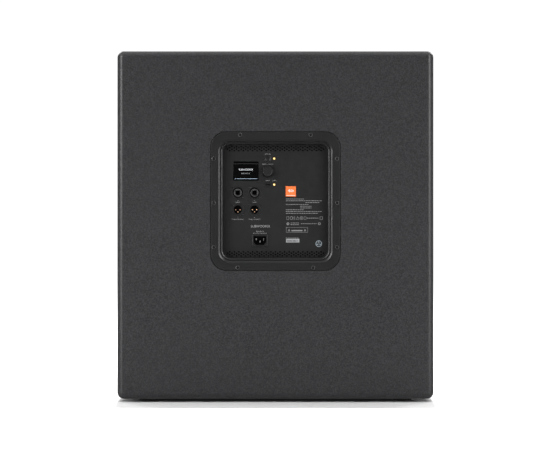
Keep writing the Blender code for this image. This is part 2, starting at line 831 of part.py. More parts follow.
def heat_sink():
    """Extruded comb: its fins stand behind the panel and let air rise between the vent strips."""
    left, right, fin_count, fin_width = -0.098, -0.014, 9, 0.0020
    base_back, base_front, fin_tip = 0.258, 0.264, 0.291
    step = (right - left - fin_width) / (fin_count - 1)
    fins = []
    for i in reversed(range(fin_count)):
        start = left + i * step
        fins += [
            (start + fin_width, base_front),
            (start + fin_width, fin_tip),
            (start, fin_tip),
            (start, base_front),
        ]
    points = [(left, base_back), (right, base_back), *fins[1:-1]]
    outline = bpy.data.curves.new("heat_sink", "CURVE")
    outline.dimensions = "2D"
    outline.fill_mode = "BOTH"
    outline.extrude = 0.090
    spline = outline.splines.new("POLY")
    spline.points.add(len(points) - 1)
    for point, (x, y) in zip(spline.points, points, strict=True):
        point.co = (x, y, 0, 1)
    spline.use_cyclic_u = True
    add_object("heat_sink", outline, ALUMINIUM, (0, 0, AMP_Z))


def electronics():
    boards = (
        ("amplifier_board", (-0.098, 0.2440, -0.104), (0.098, 0.2456, 0.104), BOARD_GREEN),
        ("power_supply_board", (-0.098, 0.2000, -0.104), (0.098, 0.2016, 0.104), BOARD_GREEN),
        ("switching_transformer", (0.020, 0.2019, -0.060), (0.065, 0.2360, -0.020), FERRITE),
        ("control_board", (-0.006, 0.2819, 0.0350), (0.084, 0.2835, 0.0950), BOARD_GREEN),
    )
    for name, low, high, look in boards:
        block(name, (low[0], low[1], AMP_Z + low[2]), (high[0], high[1], AMP_Z + high[2]), look)


def display():
    half_x, half_z = DISPLAY_SIZE[0] / 2, DISPLAY_SIZE[1] / 2
    x, z = DISPLAY[0], AMP_Z + DISPLAY[1]
    block(
        "display_window",
        (x - half_x, PANEL_BACK_Y + GAP, z - half_z),
        (x + half_x, PANEL_FACE_Y + 0.0002, z + half_z),
        SCREEN_GLASS,
    )
    half_x, half_z = half_x + 0.001, half_z - 0.0005
    block(
        "display_module",
        (x - half_x, 0.2905, z - half_z),
        (x + half_x, PANEL_BACK_Y - GAP, z + half_z),
        BLACK_PLASTIC,
    )


def power_button():
    """A push button with a collar behind the panel; heights are distances from its rear end."""
    length = PANEL_FACE_Y + 0.0016 - 0.2880
    collar = PANEL_BACK_Y - GAP - 0.2880
    profile = (
        (0, length),
        (BUTTON_RADIUS - 0.0008, length),
        (BUTTON_RADIUS, length - 0.0006),
        (BUTTON_RADIUS, collar),
        (BUTTON_RADIUS + 0.0010, collar),
        (BUTTON_RADIUS + 0.0010, collar - 0.0012),
        (0.0020, collar - 0.0012),
        (0.0020, 0),
        (0, 0),
    )
    turned("power_button", profile, BLACK_PLASTIC, panel_point(POWER_BUTTON, 0.2880), "Y", 20)


def menu_control():
    """Rotary encoder: its body and bushing stay, its plunger is pushed, and the knob with its shaft turns."""
    bushing_end = 0.3010
    body_low = panel_point((MENU[0] - 0.006, MENU[1] - 0.006), 0.2862)
    body_high = panel_point((MENU[0] + 0.006, MENU[1] + 0.006), 0.2930)
    body = block("menu_encoder", body_low, body_high, BARE_STEEL)
    bushing = rod("menu_bushing", panel_point(MENU, 0.2925), 0.0045, bushing_end - 0.2925, sides=12)
    join(body, bushing)
    cut(body, rod("menu_bore", panel_point(MENU, 0.280), 0.0034, 0.03, sides=12))
    rod("menu_plunger", panel_point(MENU, 0.2842), 0.0030, 0.0035, BARE_STEEL, sides=12)
    base = PANEL_FACE_Y + 0.0012
    shaft_start = 0.2880
    profile = (
        (0, 0.0252),
        (0.0096, 0.0252),
        (0.0106, 0.0242),
        (0.0115, base - shaft_start),
        (0.0103, base - shaft_start),
        (0.0094, 0.0220),
        (0.0030, 0.0220),
        (0.0030, 0),
        (0, 0),
    )
    turned("menu_knob", profile, BLACK_PLASTIC, panel_point(MENU, shaft_start), "Y", 24)


def led(name, place):
    start = panel_point(place, 0.2920)
    turned(
        name,
        ((0, 0.0068), (0.0011, 0.0066), (LED_RADIUS, 0.0058), (LED_RADIUS, 0), (0, 0)),
        LED_AMBER,
        start,
        "Y",
        10,
    )


def data_port():
    """A small service socket: a moulded surround with a flat slot in it."""
    x, z = DATA_PORT[0], AMP_Z + DATA_PORT[1]
    surround_body = block(
        "data_port",
        (x - 0.0055, 0.2880, z - 0.0048),
        (x + 0.0055, PANEL_FACE_Y, z + 0.0048),
        BLACK_PLASTIC,
        0.002,
        "Y",
        2,
    )
    slot = block(
        "data_slot", (x - 0.0045, 0.2900, z - 0.0016), (x + 0.0045, 0.30, z + 0.0016), None, 0.0015, "Y", 2
    )
    cut(surround_body, slot)


def socket_body(name, place, front):
    """A round barrel through the panel on a square body behind it."""
    barrel = rod(
        name, panel_point(place, 0.2930), SOCKET_BARREL_RADIUS, front - 0.2930, BLACK_PLASTIC, sides=20
    )
    low = panel_point((place[0] - 0.013, place[1] - 0.0145), 0.2700)
    high = panel_point((place[0] + 0.013, place[1] + 0.0145), PANEL_BACK_Y - GAP)
    join(barrel, block(name + "_rear", low, high))
    return barrel


def combo_socket(name, place):
    """Takes either a plug with a round shell, in the ring-shaped slot, or a jack plug, in the middle hole."""
    front = PANEL_FACE_Y + 0.0004
    socket = socket_body(name, place, front)
    slot = turned(
        name + "_slot",
        ((0.0079, 0.013), (0.0096, 0.013), (0.0096, 0), (0.0079, 0)),
        None,
        panel_point(place, front - 0.012),
        "Y",
        20,
    )
    jack = rod(name + "_jack", panel_point(place, 0.2720), 0.0034, 0.03, sides=8)
    cut(socket, slot, jack)


def thru_socket(name, place):
    """A round socket with three contact pins."""
    front = PANEL_FACE_Y + 0.0002
    floor = front - 0.0130
    socket = socket_body(name, place, front)
    cut(socket, rod(name + "_bore", panel_point(place, floor), 0.0080, 0.02, sides=20))
    pins = []
    for i, (x, z) in enumerate(((0.0041, 0.0), (-0.0041, 0.0), (0.0, -0.0041))):
        start = panel_point((place[0] + x, place[1] + z), floor - 0.001)
        pins.append(rod(f"{name}_pin_{i}", start, 0.0012, 0.0115, sides=6))
    join(socket, combined(name + "_pins", pins))


def mains_inlet():
    """Three-pin appliance inlet, snapped into the panel from the front."""
    x, z = MAINS_INLET[0], AMP_Z + MAINS_INLET[1]
    front = PANEL_FACE_Y + 0.0018
    floor = front - 0.0165
    flange = block(
        "mains_inlet",
        (x - 0.0152, PANEL_FACE_Y + GAP, z - 0.0122),
        (x + 0.0152, front, z + 0.0122),
        BLACK_PLASTIC,
        0.003,
        "Y",
        2,
    )
    half_x, half_z = INLET_BODY[0] / 2, INLET_BODY[1] / 2
    join(
        flange,
        block(
            "inlet_body", (x - half_x, floor - 0.004, z - half_z), (x + half_x, front - 0.0005, z + half_z)
        ),
    )
    cavity = block("inlet_cavity", (x - 0.0116, floor, z - 0.0080), (x + 0.0116, front + 0.01, z + 0.0080))
    for side in (1, -1):
        corner = block(
            f"inlet_corner_{side}", (-0.0046, floor - 0.001, -0.0046), (0.0046, front + 0.011, 0.0046)
        )
        place = Vector((x + side * 0.0116, 0, z - 0.0080))
        corner.matrix_world = Matrix.Translation(place) @ Matrix.Rotation(
            math.pi / 4, 4, "Y"
        ) @ corner.matrix_world
        cut(cavity, corner)
    cut(flange, cavity)
    blades = []
    for i, (dx, dz) in enumerate(((-0.007, 0.002), (0.007, 0.002), (0.0, -0.002))):
        low = (x + dx - 0.001, floor - 0.001, z + dz - 0.002)
        high = (x + dx + 0.001, front - 0.0020, z + dz + 0.002)
        blades.append(block(f"inlet_blade_{i}", low, high))
    join(flange, combined("inlet_blades", blades))


def amplifier():
    amp_bezel()
    bezel_screws()
    amp_panel()
    amp_tub()
    heat_sink()
    electronics()
    display()
    power_button()
    menu_control()
    led("power_led", POWER_LED)
    led("limit_led", LIMIT_LED)
    data_port()
    for hand, x in SOCKET_X.items():
        combo_socket(f"combo_input_{hand}", (x, COMBO_Z))
        thru_socket(f"thru_output_{hand}", (x, THRU_Z))
    mains_inlet()


cabinet()
grille()
feet()
pole_socket()
side_handle("handle_right", 1)
side_handle("handle_left", -1)
driver()
speaker_cable()
amplifier()
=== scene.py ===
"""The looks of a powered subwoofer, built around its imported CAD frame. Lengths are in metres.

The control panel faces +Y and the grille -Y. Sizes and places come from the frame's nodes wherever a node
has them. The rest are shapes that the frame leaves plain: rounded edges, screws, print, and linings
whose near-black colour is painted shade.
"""

import math
import random

import bmesh
import bpy
from mathutils import Matrix, Vector
from mathutils.geometry import tessellate_polygon
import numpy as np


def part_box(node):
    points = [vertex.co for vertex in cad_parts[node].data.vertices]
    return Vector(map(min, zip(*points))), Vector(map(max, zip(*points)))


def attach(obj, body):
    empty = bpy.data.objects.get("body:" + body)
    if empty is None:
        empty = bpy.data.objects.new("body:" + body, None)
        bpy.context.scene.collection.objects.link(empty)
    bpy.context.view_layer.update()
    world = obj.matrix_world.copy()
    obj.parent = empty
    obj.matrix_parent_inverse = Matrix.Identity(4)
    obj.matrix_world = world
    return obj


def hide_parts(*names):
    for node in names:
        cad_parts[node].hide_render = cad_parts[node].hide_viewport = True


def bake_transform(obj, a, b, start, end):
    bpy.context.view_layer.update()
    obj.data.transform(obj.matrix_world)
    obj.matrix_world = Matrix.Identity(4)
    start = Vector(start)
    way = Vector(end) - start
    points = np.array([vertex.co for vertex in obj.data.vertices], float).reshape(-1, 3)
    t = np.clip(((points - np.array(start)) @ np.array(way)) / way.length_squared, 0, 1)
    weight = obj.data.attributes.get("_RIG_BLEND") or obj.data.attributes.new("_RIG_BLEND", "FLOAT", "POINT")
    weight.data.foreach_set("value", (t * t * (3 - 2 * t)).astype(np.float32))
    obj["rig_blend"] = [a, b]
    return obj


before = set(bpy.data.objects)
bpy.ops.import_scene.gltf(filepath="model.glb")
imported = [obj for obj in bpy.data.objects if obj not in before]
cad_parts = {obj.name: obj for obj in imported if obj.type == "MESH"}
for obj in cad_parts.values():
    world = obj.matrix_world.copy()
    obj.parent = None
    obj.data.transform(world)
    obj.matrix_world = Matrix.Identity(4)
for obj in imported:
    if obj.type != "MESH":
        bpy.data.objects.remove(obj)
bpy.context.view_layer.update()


# ---------------------------------------------------------------- places from the frame
def corners(node):
    low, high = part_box(node)
    return Vector(low), Vector(high)


def centre(node):
    low, high = corners(node)
    return (low + high) / 2


CABINET_LOW, _ = corners("left_side_panel")
_, CABINET_HIGH = corners("right_side_panel")
BEZEL_LOW, BEZEL_HIGH = corners("amp_bezel")
PANEL_LOW, PANEL_HIGH = corners("amp_panel")
REAR_Y = BEZEL_HIGH.y
PANEL_Y = PANEL_HIGH.y
AMP_Z = (BEZEL_LOW.z + BEZEL_HIGH.z) / 2
WALL = CABINET_HIGH.x - corners("back_panel")[1].x
EDGE_RADIUS = 0.012
BEZEL_GAP = 0.0010
BEZEL_RADIUS = 0.031
BEZEL_SIZE = BEZEL_HIGH - BEZEL_LOW
PANEL_SIZE = PANEL_HIGH - PANEL_LOW
PANEL_OUTLINE = (PANEL_SIZE.x, PANEL_SIZE.z, 0.0205)  # width, height and corner radius
RECESS = (PANEL_SIZE.x - 0.0120, PANEL_SIZE.z - 0.0120, 0.0145)  # the same for the recess, at the panel
LIP = (BEZEL_SIZE.x - 0.0287, BEZEL_SIZE.z - 0.0290, 0.0220)  # and where the flat flange ends
BEZEL_SCREWS = [f"bezel_screw_{i:02d}" for i in range(1, 11)]
FEET = [f"foot_{end}_{hand}" for end in ("front", "rear") for hand in ("left", "right")]
HANDLE_BOXES = {hand: corners(f"handle_{hand}") for hand in ("left", "right")}
POLE_BOX = corners("pole_socket")
GRILLE_LOW, GRILLE_HIGH = corners("grille")
DRIVER = centre("driver_basket")
DRIVER_Y = corners("front_baffle")[0].y
DISPLAY_LOW, DISPLAY_HIGH = corners("display_window")
DATA_LOW, DATA_HIGH = corners("data_port")
INLET_LOW, INLET_HIGH = corners("mains_inlet")
BUTTON = centre("power_button")
KNOB = centre("menu_knob")
COMBO_SOCKETS = {name: centre(name) for name in ("combo_input_a", "combo_input_b")}
THRU_SOCKETS = {name: centre(name) for name in ("thru_output_a", "thru_output_b")}
SOCKETS = {**COMBO_SOCKETS, **THRU_SOCKETS}
LEDS = {name: centre(name) for name in ("power_led", "limit_led")}

HOLE_GAP = 0.0003  # between the panel and what fills its holes, and round the handles' flanges
BEZEL_SEAT = PANEL_Y + 0.0003  # where the bezel's wall stops over the panel
SOCKET_RADIUS = 0.0118
SOCKET_DEPTH = 0.0150
DATA_CORNER = 0.0022
INLET_NECK = (0.0266, 0.0196, 0.0008)  # width, height and corner radius behind the flange
HANDLE_CORNER = 0.0177

AXIS_TURN = {  # from +Z, along which screws and turned shapes are made
    "Y": Matrix.Rotation(-math.pi / 2, 4, "X"),
    "Z": Matrix(),
    "-Z": Matrix.Rotation(math.pi, 4, "X"),
}


# ---------------------------------------------------------------- materials
class Look:
    """A material being built: a Principled shader and the nodes that drive it from object coordinates."""

    def __init__(self, name, colour, roughness, metallic=0.0, **constants):
        self.material = bpy.data.materials.new(name)
        self.material.use_nodes = True
        self.tree = self.material.node_tree
        self.shader = self.tree.nodes["Principled BSDF"]
        constants.update(Base_Color=(*colour, 1), Roughness=roughness, Metallic=metallic)
        for socket, value in constants.items():
            self.shader.inputs[socket.replace("_", " ")].default_value = value
        self.coordinates = self.tree.nodes.new("ShaderNodeTexCoord").outputs["Object"]
        self.height = None

    def node(self, kind, output, setting=None, **inputs):
        """The output of a new node, whose inputs are set to values or linked to earlier outputs."""
        node = self.tree.nodes.new(f"ShaderNode{kind}")
        if setting:
            setattr(node, *setting)
        for name, value in inputs.items():
            socket = node.inputs[name.replace("_", " ")]
            if isinstance(value, bpy.types.NodeSocket):
                self.tree.links.new(value, socket)
            else:
                socket.default_value = value
        return node.outputs[output]

    def drive(self, socket, output):
        self.tree.links.new(output, self.shader.inputs[socket])

    def noise(self, size, detail=2.0, stretch=None, roughness=0.5):
        """Noise whose lumps are about this size."""
        source = self.coordinates
        if stretch:
            source = self.node("Mapping", "Vector", Vector=source, Scale=stretch)
        settings = {"Scale": 1 / size, "Detail": detail, "Roughness": roughness}
        return self.node("TexNoise", "Fac", Vector=source, **settings)

    def cells(self, size, feature="F1"):
        kind = ("feature", feature)
        return self.node("TexVoronoi", "Distance", kind, Vector=self.coordinates, Scale=1 / size)

    def ramp(self, source, first, second, bounds=(0.3, 0.7)):
        """A value that goes from first to second as the source goes from one bound to the other."""
        values = dict(zip(("From_Min", "From_Max", "To_Min", "To_Max"), (*bounds, first, second)))
        return self.node("MapRange", "Result", Value=source, **values)

    def mix(self, source, first, second, bounds):
        """A colour that does the same."""
        share = self.ramp(source, 0, 1, bounds)
        kind = ("data_type", "RGBA")
        return self.node("Mix", "Result", kind, Factor=share, A=(*first, 1), B=(*second, 1))

    def colours(self, source, first, second, bounds=(0.3, 0.7)):
        self.drive("Base Color", self.mix(source, first, second, bounds))

    def roughness(self, source, first, second, bounds=(0.3, 0.7)):
        self.drive("Roughness", self.ramp(source, first, second, bounds))

    def bump(self, source, distance, strength=1.0):
        """Adds a bump layer on top of the ones before it."""
        below = {"Normal": self.height} if self.height else {}
        settings = {"Distance": distance, "Strength": strength}
        self.height = self.node("Bump", "Normal", Height=source, **settings, **below)
        self.drive("Normal", self.height)


def coating():
    """Sprayed, finely pebbled protective coating."""
    look = Look("sprayed_coating", (0.024, 0.024, 0.0255), 0.37, Specular_IOR_Level=0.45)
    pebbles = look.noise(0.0024, 3.0, roughness=0.65)
    look.colours(pebbles, (0.0150, 0.0150, 0.0162), (0.0375, 0.0375, 0.0400), (0.36, 0.64))
    look.roughness(look.noise(0.045), 0.36, 0.39)
    look.bump(look.cells(0.0030, "SMOOTH_F1"), 0.00020, 0.35)
    look.bump(pebbles, 0.00035, 0.40)
    return look.material


def moulded(name, colour, roughness, grain=0.0006, depth=0.00006, specular=0.5):
    """Plastic with the fine spark-eroded grain of its mould."""
    look = Look(name, colour, roughness, Specular_IOR_Level=specular)
    grit = look.noise(grain)
    look.colours(grit, [c * 0.85 for c in colour], [c * 1.18 for c in colour])
    look.roughness(look.noise(0.02), roughness - 0.04, roughness + 0.05)
    look.bump(grit, depth, 0.5)
    return look.material


def painted_sheet():
    """Satin powder coat on the control panel."""
    look = Look("panel_powder_coat", (0.0110, 0.0110, 0.0113), 0.46, Specular_IOR_Level=0.35)
    grit = look.noise(0.0009)
    look.colours(grit, (0.0090, 0.0090, 0.0093), (0.0130, 0.0130, 0.0133))
    look.roughness(look.noise(0.012), 0.42, 0.52)
    look.bump(grit, 0.00005, 0.4)
    return look.material


def metal(name, colour, roughness, brushed=None):
    """Bare metal, with fine streaks along the brushed axis if there is one."""
    look = Look(name, colour, roughness, 1.0)
    stretch = [0.05 if axis == brushed else 1 for axis in "XYZ"]
    streaks = look.noise(0.0005, stretch=stretch)
    look.colours(look.noise(0.008), [c * 0.9 for c in colour], colour)
    look.roughness(streaks, max(0.05, roughness - 0.08), roughness + 0.10)
    look.bump(streaks, 0.00002, 0.5)
    return look.material


def powder_coated_steel():
    look = Look("grille_powder_coat", (0.014, 0.014, 0.015), 0.5)
    grit = look.noise(0.0008, 3.0)
    look.colours(grit, (0.011, 0.011, 0.012), (0.018, 0.018, 0.019))
    look.roughness(grit, 0.42, 0.58)
    look.bump(grit, 0.00008, 0.6)
    return look.material


def soft_rubber():
    look = Look("rubber", (0.012, 0.012, 0.012), 0.8)
    dust = look.noise(0.006, 4.0)
    look.colours(dust, (0.010, 0.010, 0.010), (0.026, 0.025, 0.024), (0.4, 0.75))
    look.roughness(dust, 0.72, 0.9)
    look.bump(look.noise(0.0007), 0.00008, 0.5)
    return look.material


def open_foam(name, tone):
    look = Look(name, (tone, tone, tone), 0.95, Specular_IOR_Level=0.2)
    pores = look.cells(0.0016)
    look.colours(pores, (tone * 0.35,) * 3, (tone * 1.65,) * 3, (0.1, 0.6))
    look.bump(pores, 0.0008)
    return look.material


def bare_plywood():
    look = Look("plywood", (0.42, 0.29, 0.16), 0.7)
    grain = look.noise(0.004, 6.0, (0.06, 1, 1))
    look.colours(grain, (0.30, 0.19, 0.10), (0.52, 0.38, 0.23), (0.35, 0.65))
    look.roughness(grain, 0.6, 0.8)
    look.bump(grain, 0.0002, 0.5)
    return look.material


def paper_pulp():
    look = Look("paper_cone", (0.020, 0.020, 0.021), 0.75)
    fibres = look.noise(0.0015, 5.0)
    look.colours(fibres, (0.012, 0.012, 0.013), (0.034, 0.034, 0.035))
    look.roughness(fibres, 0.65, 0.85)
    look.bump(fibres, 0.0003, 0.6)
    return look.material


def treated_cloth():
    """Resin-dipped weave of the spider and the coil former."""
    look = Look("treated_cloth", (0.30, 0.20, 0.08), 0.85)
    threads = look.cells(0.0009)
    look.colours(threads, (0.20, 0.13, 0.05), (0.38, 0.27, 0.12), (0.1, 0.6))
    look.roughness(threads, 0.7, 0.9, (0.1, 0.6))
    look.bump(threads, 0.0003, 0.7)
    return look.material


def circuit_board():
    look = Look("solder_mask", (0.02, 0.11, 0.05), 0.45)
    tracks = look.cells(0.006, "DISTANCE_TO_EDGE")
    look.colours(tracks, (0.035, 0.20, 0.09), (0.012, 0.085, 0.036), (0.04, 0.09))
    look.roughness(look.noise(0.01), 0.35, 0.5)
    look.bump(tracks, 0.00003, 0.4)
    return look.material


def gloss_window():
    gloss = {"Specular_IOR_Level": 0.12, "Coat_Weight": 0.08}
    look = Look("display_window", (0.0012, 0.0012, 0.0013), 0.10, **gloss)
    smears = look.noise(0.018, 3.0)
    look.roughness(smears, 0.07, 0.18, (0.35, 0.75))
    look.colours(smears, (0.0010, 0.0010, 0.0011), (0.0015, 0.0015, 0.0016))
    return look.material


def ink(name, colour, glow=0.0):
    """Screen print, slightly uneven in its cover, or a lit part of the display, or a faint painted glow."""
    look = Look(name, colour, 0.55)
    uneven = look.noise(0.0006)
    look.colours(uneven, [c * 0.78 for c in colour], colour, (0.25, 0.6))
    look.roughness(uneven, 0.5, 0.62)
    if glow:
        look.shader.inputs["Emission Color"].default_value = (*colour, 1)
        look.shader.inputs["Emission Strength"].default_value = glow
    return look.material


def lit_lens(name, middle, radius):
    """A small lit lens: pale and bright in its middle, amber and dimmer towards its rim."""
    look = Look(name, (0.9, 0.7, 0.25), 0.25)
    distance = look.node("VectorMath", "Value", ("operation", "DISTANCE"), Vector=look.coordinates)
    distance.node.inputs[1].default_value = middle
    glow = look.mix(distance, (1.0, 0.90, 0.38), (0.85, 0.42, 0.06), (radius * 0.45, radius * 1.05))
    look.drive("Base Color", glow)
    look.drive("Emission Color", glow)
    look.drive("Emission Strength", look.ramp(distance, 1.1, 0.35, (radius * 0.5, radius * 1.1)))
    return look.material


COATING = coating()
BEZEL_PLASTIC = moulded("bezel_plastic", (0.0120, 0.0120, 0.0123), 0.34, 0.0008, 0.00004, 0.45)
SOCKET_PLASTIC = moulded("socket_plastic", (0.0095, 0.0095, 0.0100), 0.38, 0.0005, 0.00003)
# near black, darker than the socket plastic: painted shade in the sockets' bores and the inlet's cavity
SOCKET_PAINTED_SHADE = moulded("socket_painted_shade", (0.0025, 0.0025, 0.0026), 0.60, 0.0005, 0.00002, 0.2)
SOCKET_POST = moulded("socket_post_plastic", (0.070, 0.070, 0.072), 0.36, 0.0005, 0.00003)
KNOB_RUBBER = moulded("knob_soft_touch", (0.0085, 0.0085, 0.0090), 0.42, 0.0005, 0.00003, 0.4)
BUTTON_PLASTIC = moulded("button_plastic", (0.008, 0.008, 0.0085), 0.42, 0.0004, 0.00003)
COLLAR_PLASTIC = moulded("collar_plastic", (0.030, 0.030, 0.031), 0.34, 0.0004, 0.00003)
HANDLE_PLASTIC = moulded("handle_plastic", (0.020, 0.020, 0.021), 0.50, 0.0010, 0.00010)
CAST_METAL = moulded("coated_casting", (0.020, 0.020, 0.021), 0.5, 0.0015, 0.0002)
FERRITE = moulded("ferrite", (0.05, 0.05, 0.055), 0.6, 0.002, 0.0002)
PANEL_PAINT = painted_sheet()
GRILLE_PAINT = powder_coated_steel()
RUBBER = soft_rubber()
FOAM = open_foam("foam", 0.012)
# near black behind the vent holes: painted shade
VENT_FOAM_PAINTED_SHADE = open_foam("vent_foam_painted_shade", 0.0015)
PLYWOOD = bare_plywood()
PAPER = paper_pulp()
CLOTH = treated_cloth()
BOARD = circuit_board()
WINDOW = gloss_window()
SCREW_BLACK = metal("blackened_steel", (0.065, 0.065, 0.067), 0.34)
# brighter metal ring round each bezel screw head: a painted highlight
SCREW_PAINTED_HIGHLIGHT = metal("screw_rim_painted_highlight", (0.21, 0.21, 0.21), 0.45)
ZINC = metal("zinc_plated_steel", (0.56, 0.55, 0.53), 0.30)
ALUMINIUM = metal("extruded_aluminium", (0.62, 0.62, 0.64), 0.35, "Z")
COPPER = metal("enamelled_copper", (0.72, 0.28, 0.10), 0.30)
GOLD = metal("gold_plate", (1.0, 0.72, 0.50), 0.50)
NICKEL = metal("nickel_plate", (0.40, 0.39, 0.38), 0.36)
PRINT = ink("panel_print", (0.42, 0.42, 0.42))
PRINT_FAINT = ink("panel_print_small", (0.20, 0.20, 0.20))
PRINT_ORANGE = ink("badge_orange", (0.90, 0.175, 0.030))
PRINT_WHITE = ink("badge_white", (0.85, 0.82, 0.80))
STICKER_GREY = ink("sticker_grey", (0.30, 0.305, 0.31))
STICKER_BLUE = ink("sticker_blue_grey", (0.30, 0.36, 0.40))
STICKER_DARK = ink("sticker_dark", (0.035, 0.042, 0.048))
STICKER_LINE = ink("sticker_line", (0.035, 0.037, 0.040))
# faint amber glow on the ring round each LED: a painted halo of its light
LED_PAINTED_HALO = ink("led_painted_halo", (0.30, 0.14, 0.03), 0.15)
SCREEN_WHITE = ink("screen_white", (0.80, 0.82, 0.85), 0.75)
SCREEN_DIM = ink("screen_dim", (0.22, 0.23, 0.24), 0.45)
SCREEN_BLUE = ink("screen_blue", (0.33, 0.42, 0.52), 0.6)
SCREEN_FAINT = ink("screen_faint", (0.06, 0.06, 0.065), 0.2)


# ---------------------------------------------------------------- meshes
def mesh_from(name, bm, sharp=35):
    """Closes the work on a bmesh: faces out, smooth but for edges sharper than the angle."""
    bmesh.ops.recalc_face_normals(bm, faces=bm.faces)
    mesh = bpy.data.meshes.new(name)
    bm.to_mesh(mesh)
    bm.free()
    mesh.shade_smooth()
    mesh.set_sharp_from_angle(angle=math.radians(sharp))
    return mesh


def piece(name, mesh, look, body="cabinet", stands_for=(), slot=None):
    """An object that rides on a body, or on none if it is to be blended across a joint."""
    obj = bpy.data.objects.new(name, mesh)
    bpy.context.scene.collection.objects.link(obj)
    mesh.materials.clear()
    mesh.materials.append(look)
    if body:
        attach(obj, body)
    if stands_for:
        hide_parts(*stands_for)
    return obj


def even_shading(obj):
    """Large flat faces keep flat shading beside their rounded edges."""
    obj.modifiers.new("weighted_normal", "WEIGHTED_NORMAL").keep_sharp = True


def merged(name, meshes, sharp=35):
    """One mesh from several closed ones, which are used up."""
    bm = bmesh.new()
    for mesh in meshes:
        bm.from_mesh(mesh)
        bpy.data.meshes.remove(mesh)
    return mesh_from(name, bm, sharp)


def placed(mesh, where, turn="Z"):
    mesh.transform(Matrix.Translation(where) @ AXIS_TURN[turn])
    return mesh


def at(spot, y):
    """The place at another depth behind or before a spot."""
    return (spot.x, y, spot.z)


def fillet(points, steps=3, closed=False):
    """A polyline with rounded corners. A point's third value is its corner's radius, sharp without one."""
    rounded = []
    count = len(points)
    for i, (x, y, *radius) in enumerate(points):
        here = Vector((x, y))
        if not radius or (not closed and i in (0, count - 1)):
            rounded.append(here)
            continue
        back = Vector(points[i - 1][:2]) - here
        ahead = Vector(points[(i + 1) % count][:2]) - here
        half = back.angle(ahead) / 2
        reach = min(radius[0] / math.tan(half), back.length * 0.499, ahead.length * 0.499)
        start = here + back.normalized() * reach
        end = here + ahead.normalized() * reach
        middle = here + (back.normalized() + ahead.normalized()).normalized() * (reach / math.cos(half))
        size = (start - middle).length
        for step in range(steps + 1):
            along = start.lerp(end, step / steps)
            if (along - middle).length > 1e-9:
                along = middle + (along - middle).normalized() * size
            rounded.append(along)
    return rounded


def polar(radius, angle):
    return radius * math.cos(angle), radius * math.sin(angle)


def full_turn(count, start=0.0):
    """Evenly spaced angles once round."""
    return [start + 2 * math.pi * i / count for i in range(count)]


def circle(x, z, radius, steps=20, start=0.0):
    return shifted([polar(radius, angle) for angle in full_turn(steps, start)], x, z)


def shifted(points, x, z):
    return [(px + x, pz + z) for px, pz in points]


def lathe(name, points, steps=64, sharp=35):
    """Points of (radius, height) turned about Z, closed on itself unless it starts and ends on the axis."""
    bm = bmesh.new()
    rings = []
    for radius, height in points:
        if radius < 1e-7:
            rings.append([bm.verts.new((0, 0, height))] * steps)
        else:
            rings.append([bm.verts.new((x, y, height)) for x, y in circle(0, 0, radius, steps)])
    pairs = list(zip(rings, rings[1:]))
    if points[0][0] > 1e-7:
        pairs.append((rings[-1], rings[0]))
    for first, second in pairs:
        for i in range(steps):
            j = (i + 1) % steps
            loop = list(dict.fromkeys((first[i], first[j], second[j], second[i])))
            if len(loop) > 2:
                bm.faces.new(loop)
    return mesh_from(name, bm, sharp)


def turned(name, points, steps, where=(0, 0, 0), turn="Z", fine=3, closed=False):
    """A lathe of points that may say their corner radii, set in its place."""
    if any(len(point) > 2 for point in points):
        points = fillet(points, fine, closed)
    return placed(lathe(name, points, steps), where, turn)


def rounded_box(name, low, high, radius, segments=3):
    low, high = Vector(low), Vector(high)
    bm = bmesh.new()
    bmesh.ops.create_cube(bm, size=1.0)
    bmesh.ops.scale(bm, vec=high - low, verts=bm.verts)
    bmesh.ops.translate(bm, vec=(low + high) / 2, verts=bm.verts)
    if radius:
        bmesh.ops.bevel(bm, geom=bm.edges[:], offset=radius, segments=segments, profile=0.5, affect="EDGES")
    return mesh_from(name, bm)


def outline(width, height, radius, steps=10):
    """The points of a rounded rectangle, anticlockwise, with the same count whatever its size."""
    points = []
    for quarter, (sign_x, sign_z) in enumerate(((1, 1), (-1, 1), (-1, -1), (1, -1))):
        for i in range(steps + 1):
            x, z = polar(radius, (quarter + i / steps) * math.pi / 2)
            points.append((sign_x * (width / 2 - radius) + x, sign_z * (height / 2 - radius) + z))
    return points


def face_outline(low, high, radius, steps, grow=0.0):
    """A rounded rectangle that covers a box as seen along Y."""
    size = high - low
    middle = (high + low) / 2
    return shifted(outline(size.x + grow, size.z + grow, radius, steps), middle.x, middle.z)


def loft(name, rings, sharp=35, ends=False):
    """Rings of (points, y) joined one to the next. The last joins the first, or each end is capped."""
    bm = bmesh.new()
    loops = [[bm.verts.new((x, y, z)) for x, z in points] for points, y in rings]
    pairs = list(zip(loops, loops[1:]))
    if ends:
        bm.faces.new(loops[0])
        bm.faces.new(loops[-1])
    else:
        pairs.append((loops[-1], loops[0]))
    for first, second in pairs:
        for i in range(len(first)):
            j = (i + 1) % len(first)
            bm.faces.new((first[i], first[j], second[j], second[i]))
    return mesh_from(name, bm, sharp)


def prism(name, points, y_low, y_high):
    return loft(name, [(points, y_low), (points, y_high)], ends=True)


def flat(name, outer, holes, y_low, y_high):
    """A plate in the XZ plane between two depths, from closed lists of (x, z) points."""
    curve = bpy.data.curves.new(name, "CURVE")
    curve.dimensions = "2D"
    curve.fill_mode = "BOTH"
    curve.extrude = (y_high - y_low) / 2
    for points in (outer, *holes):
        spline = curve.splines.new("POLY")
        spline.points.add(len(points) - 1)
        for point, (x, z) in zip(spline.points, points):
            point.co = (x, z, 0, 1)
        spline.use_cyclic_u = True
    mesh = realised(name, curve)
    mesh.transform(Matrix.Translation((0, (y_low + y_high) / 2, 0)) @ Matrix.Rotation(math.pi / 2, 4, "X"))
    return mesh


